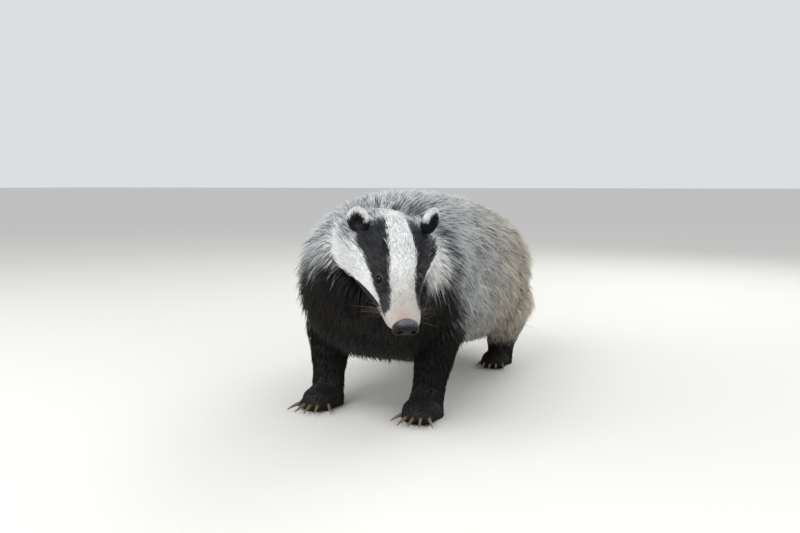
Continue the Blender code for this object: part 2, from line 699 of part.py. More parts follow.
    def limbs(self):
        """Four legs with feet whose soles are cut level, and five claws to each."""
        for name, side, loft, foot in self.legs():
            obj = add_object(name, loft.build(*LIMB_MESH), self.collection, self.coat_black)
            x, y = foot["at"]
            palm = foot["palm"]
            joined = [self.tool(ellipsoid((x * side, y, palm[2] * PALM_HEIGHT), palm, PALM_MESH))]
            cuts = []
            for number, place, way in self.toes(side, foot):
                half = [foot["toe"] * share for share in TOE_SHAPE]
                turn = Matrix.Translation(place) @ way.to_track_quat("Y", "Z").to_matrix().to_4x4()
                joined.append(self.tool(ellipsoid((0, 0, 0), half, TOE_MESH, turn)))
                claw = self.claw(place, way, foot)
                add_object(f"claw_{name}_{number + 1}", claw, self.collection, self.horn)
                cuts.append(self.tool(self.claw(place, way, foot, GAP)))
            boolean(obj, joined, "UNION", "MANIFOLD")
            floor = bmesh.new()
            bmesh.ops.create_cube(floor, size=1, matrix=Matrix.Translation((x * side, y, -0.5)))
            cuts.append(self.tool(floor))
            boolean(obj, cuts, "DIFFERENCE", "MANIFOLD")

    def build(self):
        """Every sub-part, from the rump forward."""
        self.torso()
        self.neck()
        self.tail_piece()
        self.head()
        self.eyes()
        self.nose()
        self.ears()
        self.limbs()
        self.hang()

    def hang(self):
        """Hangs the trunk and legs on an empty at the stance, and the head's parts on one at the occiput."""
        pieces = list(self.collection.objects)
        stance = add_empty("stance", Matrix.Translation(STANCE), self.collection)
        occiput = add_empty("occiput", self.head_matrix, self.collection, stance)
        for obj in pieces:
            if obj.name.split("_")[0] in HEAD_PARTS:
                obj.data.transform(self.head_matrix.inverted())
                obj.parent = occiput
            else:
                obj.parent = stance


def main():
    """Clears the scene and builds the animal in its own collection."""
    for obj in list(bpy.data.objects):
        bpy.data.objects.remove(obj)
    groups = []
    for name in ("badger", "cutters"):
        group = bpy.data.collections.new(name)
        bpy.context.scene.collection.children.link(group)
        groups.append(group)
    Badger(*groups).build()


main()
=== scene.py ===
"""A European badger, life size, with its back arched and its striped head lowered and turned.

One skin stands in for the solids of flesh, and the coat grows on it as thin solid tufts that follow the lie of the
hair. Metres, +Z up; the animal looks along -Y and its left side is +X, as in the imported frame.
"""

from __future__ import annotations

import json
import logging
import math
from dataclasses import dataclass, field
from enum import Enum

import bmesh
import bpy
import numpy as np
from mathutils import Matrix, Vector
from mathutils.bvhtree import BVHTree
from mathutils.kdtree import KDTree

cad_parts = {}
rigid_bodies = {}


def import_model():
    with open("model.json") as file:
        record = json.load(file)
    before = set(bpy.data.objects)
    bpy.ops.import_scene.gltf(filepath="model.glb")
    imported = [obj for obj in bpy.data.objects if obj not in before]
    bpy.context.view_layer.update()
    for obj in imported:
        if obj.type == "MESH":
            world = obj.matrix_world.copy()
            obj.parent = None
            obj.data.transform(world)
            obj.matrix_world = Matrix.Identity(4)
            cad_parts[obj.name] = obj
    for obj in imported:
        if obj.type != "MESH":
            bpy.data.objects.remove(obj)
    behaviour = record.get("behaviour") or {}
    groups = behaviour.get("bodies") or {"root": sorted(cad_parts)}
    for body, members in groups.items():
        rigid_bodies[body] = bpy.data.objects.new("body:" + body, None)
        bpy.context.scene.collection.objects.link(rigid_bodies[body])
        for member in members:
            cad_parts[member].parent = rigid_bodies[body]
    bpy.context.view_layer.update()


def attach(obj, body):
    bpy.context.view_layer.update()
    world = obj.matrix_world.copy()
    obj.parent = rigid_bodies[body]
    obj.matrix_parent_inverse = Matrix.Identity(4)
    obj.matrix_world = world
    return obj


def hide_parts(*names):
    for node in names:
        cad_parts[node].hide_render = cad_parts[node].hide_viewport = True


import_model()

LOG = logging.getLogger("badger")
ROOT = "root"
MM = 0.001
Array = np.ndarray

# Where the middle of the animal's box lies over the origin, and where the occiput is and how the skull is turned.
STANCE = (-0.0004, -0.0662, 0.0)
HEAD_AT = (0.084, -0.262, 0.288)
HEAD_YAW = 37.0
HEAD_PITCH = 42.5
HEAD_ROLL = 2.0

# Stations of the outline: x, y, z, half width, rise, drop, squareness, and the depth of the coat over the skin.
SPINE = (
    ("rump end", 0.000, 0.416, 0.176, 0.022, 0.020, 0.026, 2.0, 0.026),
    ("rump", 0.000, 0.398, 0.177, 0.080, 0.067, 0.082, 2.1, 0.028),
    ("buttock", 0.000, 0.350, 0.181, 0.132, 0.112, 0.127, 2.2, 0.030),
    ("haunch", 0.000, 0.272, 0.188, 0.163, 0.139, 0.148, 2.3, 0.030),
    ("loin", 0.000, 0.172, 0.198, 0.162, 0.151, 0.149, 2.3, 0.031),
    ("ribs", 0.000, 0.070, 0.206, 0.154, 0.154, 0.146, 2.3, 0.031),
    ("girth", 0.002, -0.020, 0.209, 0.146, 0.151, 0.144, 2.3, 0.030),
    ("shoulder", 0.010, -0.095, 0.214, 0.138, 0.142, 0.140, 2.3, 0.030),
    ("collar", 0.026, -0.160, 0.226, 0.125, 0.121, 0.128, 2.2, 0.029),
    ("neck", 0.050, -0.210, 0.246, 0.103, 0.094, 0.110, 2.1, 0.028),
    ("nape", 0.070, -0.245, 0.268, 0.082, 0.068, 0.088, 2.0, 0.024),
    ("poll", 0.083, -0.268, 0.285, 0.055, 0.040, 0.055, 2.0, 0.018),
    ("poll end", 0.090, -0.280, 0.293, 0.018, 0.012, 0.018, 2.0, 0.010),
)
TAIL = (
    ("root", 0.000, 0.362, 0.236, 0.030, 0.026, 0.026, 2.0, 0.014),
    ("set", 0.000, 0.402, 0.226, 0.034, 0.030, 0.030, 2.0, 0.018),
    ("upper", 0.000, 0.440, 0.198, 0.036, 0.030, 0.030, 2.0, 0.019),
    ("middle", 0.000, 0.466, 0.158, 0.033, 0.028, 0.028, 2.0, 0.019),
    ("lower", 0.000, 0.478, 0.114, 0.024, 0.020, 0.020, 2.0, 0.014),
    ("tip", 0.000, 0.482, 0.080, 0.008, 0.007, 0.007, 2.0, 0.005),
)
FORELEG = (
    ("scapula", 0.080, -0.082, 0.210, 0.034, 0.046, 0.044, 2.0, 0.016),
    ("elbow", 0.096, -0.080, 0.148, 0.044, 0.056, 0.052, 2.0, 0.014),
    ("forearm", 0.094, -0.090, 0.098, 0.038, 0.043, 0.041, 2.0, 0.009),
    ("wrist", 0.090, -0.104, 0.054, 0.030, 0.029, 0.029, 2.0, 0.005),
    ("heel pad", 0.088, -0.112, 0.026, 0.029, 0.026, 0.025, 2.2, 0.003),
    ("sole", 0.088, -0.114, -0.006, 0.029, 0.028, 0.024, 2.2, 0.002),
)
HINDLEG = (
    ("hip", 0.086, 0.292, 0.205, 0.036, 0.056, 0.052, 2.0, 0.016),
    ("thigh", 0.110, 0.276, 0.150, 0.052, 0.086, 0.074, 2.1, 0.018),
    ("knee", 0.112, 0.268, 0.100, 0.046, 0.070, 0.064, 2.1, 0.014),
    ("shank", 0.103, 0.278, 0.062, 0.037, 0.047, 0.044, 2.0, 0.009),
    ("hock", 0.095, 0.290, 0.032, 0.028, 0.030, 0.030, 2.1, 0.004),
    ("heel", 0.093, 0.290, -0.006, 0.026, 0.026, 0.028, 2.2, 0.002),
)
# The skull's: distance ahead of the occiput, half width, top, bottom, squareness, depth of the coat.
SKULL = (
    ("back end", -0.050, 0.020, 0.014, 0.020, 2.0, 0.009),
    ("back", -0.042, 0.040, 0.028, 0.038, 2.0, 0.011),
    ("crest", -0.020, 0.059, 0.041, 0.052, 2.1, 0.011),
    ("occiput", 0.005, 0.0660, 0.0470, 0.0560, 2.2, 0.0095),
    ("cheek", 0.030, 0.0655, 0.0475, 0.0530, 2.2, 0.0080),
    ("temple", 0.052, 0.0570, 0.0440, 0.0430, 2.2, 0.0060),
    ("brow", 0.071, 0.0460, 0.0375, 0.0320, 2.3, 0.0042),
    ("eye", 0.089, 0.0365, 0.0295, 0.0235, 2.4, 0.0030),
    ("bridge", 0.107, 0.0292, 0.0230, 0.0185, 2.5, 0.0022),
    ("muzzle", 0.125, 0.0248, 0.0183, 0.0165, 2.5, 0.0017),
    ("lip", 0.140, 0.0220, 0.0148, 0.0150, 2.4, 0.0012),
    ("snout", 0.149, 0.0182, 0.0115, 0.0125, 2.2, 0.0008),
    ("snout end", 0.154, 0.0110, 0.0070, 0.0080, 2.0, 0.0005),
)
# The lower jaw's: distance ahead, height, half width, rise, drop, squareness, depth of the coat.
JAW = (
    ("angle end", 0.000, -0.0300, 0.0300, 0.0120, 0.0180, 2.0, 0.0070),
    ("angle", 0.012, -0.0320, 0.0480, 0.0200, 0.0260, 2.1, 0.0070),
    ("cheek", 0.045, -0.0300, 0.0460, 0.0200, 0.0250, 2.2, 0.0060),
    ("corner", 0.082, -0.0255, 0.0300, 0.0120, 0.0180, 2.3, 0.0035),
    ("body", 0.109, -0.0220, 0.0222, 0.0090, 0.0130, 2.3, 0.0020),
    ("chin", 0.130, -0.0195, 0.0175, 0.0070, 0.0092, 2.2, 0.0014),
    ("chin front", 0.139, -0.0180, 0.0110, 0.0040, 0.0055, 2.0, 0.0010),
)
TOE_ANGLES = (-42, -21, 0, 21, 42)
TOE_SETBACK = 0.55
TOE_SPREAD = 0.032

EYE_AT = (0.0252, -0.0880, 0.0180)
EYE_OUT = (0.72, -0.40, 0.55)
EYE_RADIUS = 0.0060
NOSE_AT = (0.0, -0.1495, 0.0005)
NOSE_HALF = (0.0168, 0.0105, 0.0122)
NOSTRIL_AT = (0.0080, -0.1595, -0.0004)
EAR_AT = (0.0490, -0.0050, 0.0400)
EAR_ASIDE = 0.0045
EAR_HALF = (0.0165, 0.0082, 0.0195)
EAR_CUP_HALF = (0.0098, 0.0070, 0.0112)
EAR_CUP_LOW = 0.0030
EAR_TURN = 28.0
EAR_LEAN = 16.0
EAR_BACK = 12.0
MOUTH_SIDE = ((0.083, -0.0195), (0.095, -0.0178), (0.108, -0.0160), (0.121, -0.0150), (0.133, -0.0143))
MOUTH_FRONT = ((0.0120, -0.0143), (0.0060, -0.0146))
MOUTH_MIDDLE = (0.0, -0.0148)


def linear(code: str) -> Array:
    """The linear colour of an sRGB hex value.

    Args:
        code: six hex digits after a hash sign.

    Returns:
        Red, green and blue from 0 to 1.
    """
    value = np.array([int(code[k : k + 2], 16) / 255 for k in (1, 3, 5)])
    return np.where(value <= 0.04045, value / 12.92, ((value + 0.055) / 1.055) ** 2.4)


def smooth_step(low: float | Array, high: float | Array, value: Array) -> Array:
    """0 up to low and 1 from high, with a soft rise between, or the fall where high is the lower.

    Args:
        low: where the rise begins.
        high: where it ends.
        value: the values to read it at.

    Returns:
        The shares, from 0 to 1.
    """
    share = np.clip((value - low) / (high - low), 0, 1)
    return share * share * (3 - 2 * share)


def blend(first: Array, second: Array, share: Array) -> Array:
    """Rows of the first that turn into the second's by a share for each row."""
    return first + (second - first) * share[:, None]


def unit(rows: Array) -> Array:
    """The rows, each made one long."""
    return rows / np.maximum(np.linalg.norm(rows, axis=1, keepdims=True), 1e-12)


def on_surface(vectors: Array, normals: Array) -> Array:
    """The part of each vector that lies along the surface, made one long."""
    return unit(vectors - normals * np.sum(vectors * normals, axis=1, keepdims=True))


def add_node(tree: bpy.types.NodeTree, kind: str, links: dict | None = None, **settings: object) -> bpy.types.Node:
    """Adds a node to a tree.

    Args:
        tree: the tree.
        kind: the node's type name.
        links: for each input, the socket that feeds it, or the value that it holds.
        settings: the node's own properties.

    Returns:
        The node.
    """
    made = tree.nodes.new(kind)
    for name, value in settings.items():
        setattr(made, name, value)
    for name, value in (links or {}).items():
        if isinstance(value, bpy.types.NodeSocket):
            tree.links.new(value, made.inputs[name])
        else:
            made.inputs[name].default_value = value
    return made


def new_object(name: str, mesh: bpy.types.Mesh, material: bpy.types.Material | None = None) -> bpy.types.Object:
    """Links a mesh into the scene as an object at the origin.

    Args:
        name: the object's name.
        mesh: its mesh, in place.
        material: what it is dressed in.

    Returns:
        The object.
    """
    obj = bpy.data.objects.new(name, mesh)
    bpy.context.scene.collection.objects.link(obj)
    if material:
        mesh.materials.clear()
        mesh.materials.append(material)
    return obj


def from_bmesh(name: str, made: bmesh.types.BMesh) -> bpy.types.Object:
    """Turns a bmesh into an object, with its faces pointing out, and frees it."""
    bmesh.ops.recalc_face_normals(made, faces=made.faces)
    mesh = bpy.data.meshes.new(name)
    made.to_mesh(mesh)
    made.free()
    return new_object(name, mesh)


def evaluated_mesh(obj: bpy.types.Object) -> bpy.types.Mesh:
    """The object's mesh with its modifiers applied."""
    bpy.context.view_layer.update()
    graph = bpy.context.evaluated_depsgraph_get()
    return bpy.data.meshes.new_from_object(obj.evaluated_get(graph))


def apply_modifiers(obj: bpy.types.Object) -> None:
    """Puts the evaluated mesh in place of the object's own and drops its modifiers."""
    mesh = evaluated_mesh(obj)
    obj.modifiers.clear()
    old = obj.data
    obj.data = mesh
    bpy.data.meshes.remove(old) if old.users == 0 else None


def boolean(obj: bpy.types.Object, tool: bpy.types.Object, operation: str, solver: str = "EXACT") -> None:
    """Joins a tool to an object or cuts it away, and removes the tool.

    Args:
        obj: what is joined or cut.
        tool: the other object.
        operation: UNION or DIFFERENCE.
        solver: MANIFOLD for dense closed meshes.
    """
    modifier = obj.modifiers.new("boolean", "BOOLEAN")
    modifier.operation = operation
    modifier.object = tool
    modifier.solver = solver
    apply_modifiers(obj)
    bpy.data.objects.remove(tool)


def vertices_of(mesh: bpy.types.Mesh) -> Array:
    """The mesh's points, one row each."""
    rows = np.empty(len(mesh.vertices) * 3, np.float32)
    mesh.vertices.foreach_get("co", rows)
    return rows.reshape(-1, 3).astype(float)


def normals_of(mesh: bpy.types.Mesh) -> Array:
    """The mesh's smooth normals at its points, one row each."""
    rows = np.empty(len(mesh.vertices) * 3, np.float32)
    mesh.vertex_normals.foreach_get("vector", rows)
    return rows.reshape(-1, 3).astype(float)


def set_vertices(mesh: bpy.types.Mesh, rows: Array) -> None:
    """Moves the mesh's points to these rows."""
    mesh.vertices.foreach_set("co", rows.astype(np.float32).ravel())
    mesh.update()


def set_colours(mesh: bpy.types.Mesh, name: str, colours: Array) -> None:
    """Stores a linear colour at each point.

    Args:
        mesh: the mesh.
        name: the attribute's name.
        colours: one row of red, green and blue a point.
    """
    rows = np.ones((len(colours), 4), np.float32)
    rows[:, :3] = colours
    mesh.attributes.new(name, "FLOAT_COLOR", "POINT").data.foreach_set("color", rows.ravel())


def ellipsoid(half: tuple, matrix: Matrix, segments: int = 32, rings: int = 20) -> bmesh.types.BMesh:
    """A ball of three half sizes, placed by a matrix."""
    made = bmesh.new()
    place = matrix @ Matrix.Diagonal([*half, 1])
    bmesh.ops.create_uvsphere(made, u_segments=segments, v_segments=rings, radius=1, matrix=place)
    return made


def mirrored(place: tuple) -> tuple:
    """The same place on the right side."""
    return (-place[0], *place[1:])


class Side(Enum):
    """Left and right of the animal."""

    LEFT = 1
    RIGHT = -1


class Region(Enum):
    """The forms that the skin is made of, by which the coat is told apart."""

    SPINE = 0
    TAIL = 1
    SKULL = 2
    JAW = 3
    EAR = 4
    FORELEG = 5
    HINDLEG = 6
    FOREFOOT = 7
    HINDFOOT = 8


class Loft:
    """A closed form through oval sections along a centre line, with sizes between stations on a smooth curve."""

    def __init__(self, stations: tuple, matrix: Matrix, level: bool = False) -> None:
        """Keeps the stations.

        Args:
            stations: a name, the centre, half width, rise, drop, squareness and coat depth of each.
            matrix: places the form.
            level: whether the sections lie level, as in a leg.
        """
        self.rows = np.array([station[1:] for station in stations], float)
        self.last = len(self.rows) - 1
        self.level = level
        self.turn = np.array(matrix.to_3x3())
        self.place = np.array(matrix.translation)

    def sizes(self, t: Array) -> Array:
        """The eight sizes at station numbers t, on a Catmull-Rom curve."""
        t = np.clip(t, 0, self.last)
        index = np.minimum(t.astype(int), self.last - 1)
        s = (t - index)[:, None]
        weights = (
            (-(s**3) + 2 * s**2 - s) / 2,
            (3 * s**3 - 5 * s**2 + 2) / 2,
            (-3 * s**3 + 4 * s**2 + s) / 2,
            (s**3 - s**2) / 2,
        )
        near = [self.rows[np.clip(index + k, 0, self.last)] for k in (-1, 0, 1, 2)]
        return sum(weight * row for weight, row in zip(weights, near))

    def axes(self, t: Array) -> tuple[Array, Array, Array]:
        """Directions along the centre line, to the left and away from the belly."""
        if self.level:
            rows = [np.tile(axis, (len(t), 1)) for axis in ((0, 0, -1), (1, 0, 0), (0, -1, 0))]
            return tuple(np.array(row, float) for row in rows)
        step = 0.02
        along = unit(self.sizes(np.minimum(t + step, self.last))[:, :3] - self.sizes(np.maximum(t - step, 0))[:, :3])
        left = np.tile((1.0, 0.0, 0.0), (len(t), 1))
        side = on_surface(left, along)
        return along, side, np.cross(along, side)

    def outline(self, t: Array, angle: Array) -> Array:
        """Points of the coat's outline."""
        sizes = self.sizes(t)
        _, side, over = self.axes(t)
        cos, sin = np.cos(angle), np.sin(angle)
        power = 2 / sizes[:, 6]
        wide = sizes[:, 3] * np.sign(cos) * np.abs(cos) ** power
        tall = np.where(sin > 0, sizes[:, 4], sizes[:, 5]) * np.sign(sin) * np.abs(sin) ** power
        local = sizes[:, :3] + side * wide[:, None] + over * tall[:, None]
        return local @ self.turn.T + self.place

    def along(self, t: Array) -> Array:
        """Directions along the centre line in the row frame."""
        return self.axes(t)[0] @ self.turn.T

    def skin(self, t: Array, angle: Array) -> Array:
        """Points of the skin, which lies the coat's depth below the outline."""
        step = 0.01
        here = self.outline(t, angle)
        low, high = np.maximum(t - step, 0), np.minimum(t + step, self.last)
        by_t = self.outline(high, angle) - self.outline(low, angle)
        by_angle = self.outline(t, angle + step) - self.outline(t, angle - step)
        normal = unit(np.cross(by_angle, by_t))
        sizes = self.sizes(t)
        spoke = here - (sizes[:, :3] @ self.turn.T + self.place)
        normal *= np.sign(np.sum(normal * spoke, axis=1, keepdims=True) + 1e-12)
        depth = np.minimum(sizes[:, 7], 0.6 * np.min(sizes[:, 3:6], axis=1))
        return here - normal * depth[:, None]

    def grid(self, rings: int, points: int) -> tuple[Array, Array]:
        """Station numbers and angles of an even grid, ring by ring."""
        t = np.repeat(np.linspace(0, self.last, rings), points)
        angle = np.tile(np.arange(points) * 2 * math.pi / points, rings)
        return t, angle

    def build(self, rings: int, points: int) -> bmesh.types.BMesh:
        """The skin's closed mesh."""
        made = bmesh.new()
        verts = [made.verts.new(row) for row in self.skin(*self.grid(rings, points))]
        loops = [verts[k * points : (k + 1) * points] for k in range(rings)]
        for low, high in zip(loops, loops[1:]):
            for k in range(points):
                n = (k + 1) % points
                made.faces.new((low[k], low[n], high[n], high[k]))
        made.faces.new(list(reversed(loops[0])))
        made.faces.new(loops[-1])
        return made


@dataclass
class Foot:
    """A foot's sizes: where the palm's middle stands, its half sizes, and its toes and claws."""

    at: tuple[float, float]
    palm: tuple[float, float, float]
    toe: float
    reach: float
    claw: float
    fur: float = 0.0022

    def middle(self, side: Side) -> Vector:
        """The palm's middle."""
        return Vector((self.at[0] * side.value, self.at[1], self.palm[2] * 0.6)) + Vector(STANCE)

    def toes(self, side: Side) -> list[tuple[Vector, Vector]]:
        """The five toes' middles, each with the way that it points."""
        found = []
        for number, degrees in enumerate(TOE_ANGLES):
            angle = math.radians(degrees * side.value)
            way = Vector((math.sin(angle) * 0.75, -math.cos(angle), 0)).normalized()
            reach = self.reach * (TOE_SETBACK if number == 0 else 1.0)
            place = Vector((self.at[0] * side.value, self.at[1], self.toe * 0.85))
            place += Vector((way.x * TOE_SPREAD, way.y * reach, 0)) + Vector(STANCE)
            found.append((place, way))
        return found

    def pieces(self, side: Side) -> list[bmesh.types.BMesh]:
        """The palm and toes, less the fur's depth."""
        palm = tuple(size - self.fur for size in self.palm)
        made = [ellipsoid(palm, Matrix.Translation(self.middle(side)))]
        half = (self.toe * 0.92 - self.fur, self.toe * 1.6 - self.fur, self.toe - self.fur)
        for place, way in self.toes(side):
            turn = Matrix.Translation(place) @ way.to_track_quat("Y", "Z").to_matrix().to_4x4()
            made.append(ellipsoid(half, turn, 20, 12))
        return made


FORE = Foot((0.088, -0.134), (0.032, 0.038, 0.024), 0.0105, 0.026, 0.028)
HIND = Foot((0.092, 0.262), (0.028, 0.042, 0.022), 0.0095, 0.030, 0.016)


class Body:
    """The forms of the animal in the row frame, which the skin, coat and markings all read."""

    def __init__(self) -> None:
        """Places the lofts, and lists points of each form with the place that they have on it."""
        turn = (
            Matrix.Rotation(math.radians(HEAD_YAW), 4, "Z")
            @ Matrix.Rotation(math.radians(HEAD_PITCH), 4, "X")
            @ Matrix.Rotation(math.radians(HEAD_ROLL), 4, "Y")
        )
        stance = Matrix.Translation(STANCE)
        self.head = stance @ Matrix.Translation(HEAD_AT) @ turn
        self.spine = Loft(SPINE, stance)
        self.tail = Loft(TAIL, stance)
        self.skull = Loft([(n, 0, -u, 0, *sizes) for n, u, *sizes in SKULL], self.head)
        self.jaw = Loft([(n, 0, -u, *sizes) for n, u, *sizes in JAW], self.head)
        self.legs = {}
        for region, stations in ((Region.FORELEG, FORELEG), (Region.HINDLEG, HINDLEG)):
            for side in Side:
                rows = [(s[0], s[1] * side.value, *s[2:]) for s in stations]
                self.legs[region, side] = Loft(rows, stance, level=True)
        self.tree, self.keys = self.places()

    def lofts(self) -> list[tuple[Region, Loft]]:
        """Every loft with its region."""
        found = [(Region.SPINE, self.spine), (Region.TAIL, self.tail)]
        found += [(Region.SKULL, self.skull), (Region.JAW, self.jaw)]
        return found + [(region, loft) for (region, _), loft in self.legs.items()]

    def ear(self, side: Side) -> Matrix:
        """The ear's own frame: width along X, opening towards -Y, height along Z."""
        turn = (
            Matrix.Rotation(math.radians(EAR_TURN * side.value), 4, "Z")
            @ Matrix.Rotation(math.radians(EAR_LEAN * side.value), 4, "Y")
            @ Matrix.Rotation(math.radians(-EAR_BACK), 4, "X")
        )
        place = Matrix.Translation((EAR_AT[0] * side.value + EAR_ASIDE, *EAR_AT[1:]))
        return self.head @ place @ turn

    def eye(self, side: Side) -> Matrix:
        """The eye's own frame: the gaze along Z, towards the nose along X."""
        out = Vector((EYE_OUT[0] * side.value, *EYE_OUT[1:])).normalized()
        ahead = Vector((0, -1, 0))
        along = (ahead - out * out.dot(ahead)).normalized()
        axes = Matrix((along, out.cross(along), out)).transposed().to_4x4()
        return self.head @ Matrix.Translation((EYE_AT[0] * side.value, *EYE_AT[1:])) @ axes

    def in_head(self, points: Array) -> Array:
        """Points in the head's frame: to the left, ahead of the occiput, and up."""
        back = np.array(self.head.inverted())
        local = points @ back[:3, :3].T + back[:3, 3]
        local[:, 1] *= -1
        return local

    def places(self) -> tuple[KDTree, Array]:
        """A tree of points on every form, and for each its region, side, station share and angle share."""
        points, keys = [], []
        fineness = {Region.SPINE: (170, 72), Region.SKULL: (120, 64)}
        for region, loft in self.lofts():
            t, angle = loft.grid(*fineness.get(region, (60, 36)))
            side = np.sign(loft.rows[0, 0]) if loft.level else 0
            points.append(loft.skin(t, angle))
            keys.append(np.column_stack([np.full(len(t), region.value), np.full(len(t), side), t, angle]))
        for region, foot in ((Region.FOREFOOT, FORE), (Region.HINDFOOT, HIND)):
            for side in Side:
                for number, made in enumerate(foot.pieces(side)):
                    rows = np.array([vert.co for vert in made.verts])
                    made.free()
                    spoke = rows - np.array(foot.middle(side))
                    angle = np.arctan2(spoke[:, 1], spoke[:, 0]) % (2 * math.pi)
                    points.append(rows)
                    keys.append(
                        np.column_stack([np.full(len(rows), region.value), np.full(len(rows), side.value),
                                         np.full(len(rows), number / 5), angle])
                    )
        for side in Side:
            made = ellipsoid(EAR_HALF, Matrix())
            rows = np.array([vert.co for vert in made.verts])
            made.free()
            place = np.array(self.ear(side))
            angle = np.arctan2(rows[:, 1], rows[:, 0]) % (2 * math.pi)
            rows_in = rows[:, 2] / EAR_HALF[2]
            points.append(rows @ place[:3, :3].T + place[:3, 3])
            keys.append(np.column_stack([np.full(len(rows), Region.EAR.value), np.full(len(rows), side.value), rows_in, angle]))
        points, keys = np.vstack(points), np.vstack(keys)
        tree = KDTree(len(points))
        for index, point in enumerate(points):
            tree.insert(point, index)
        tree.balance()
        return tree, keys

    def read(self, points: Array) -> Array:
        """For each point, the nearest form's region, side, station number and angle."""
        return self.keys[[self.tree.find(point)[1] for point in points]]


@dataclass(frozen=True)
class Hues:
    """The coat's colours, from the photo, as the hair itself and not as it is lit."""

    white: str = "#E6E7E6"
    cream: str = "#ACA8A1"
    blush: str = "#A4867B"
    black: str = "#080A10"
    slate: str = "#28303B"
    soot: str = "#110E0C"
    grey_base: str = "#D2D6D9"
    grey_band: str = "#2A2D32"
    grey_tip: str = "#F4F6F7"
    taupe_base: str = "#E3D9CA"
    taupe_band: str = "#5F5549"
    taupe_tip: str = "#EFE7DA"
    ear_skin: str = "#2A1F1C"
    lid: str = "#1D1A1A"
    fold: str = "#77605A"


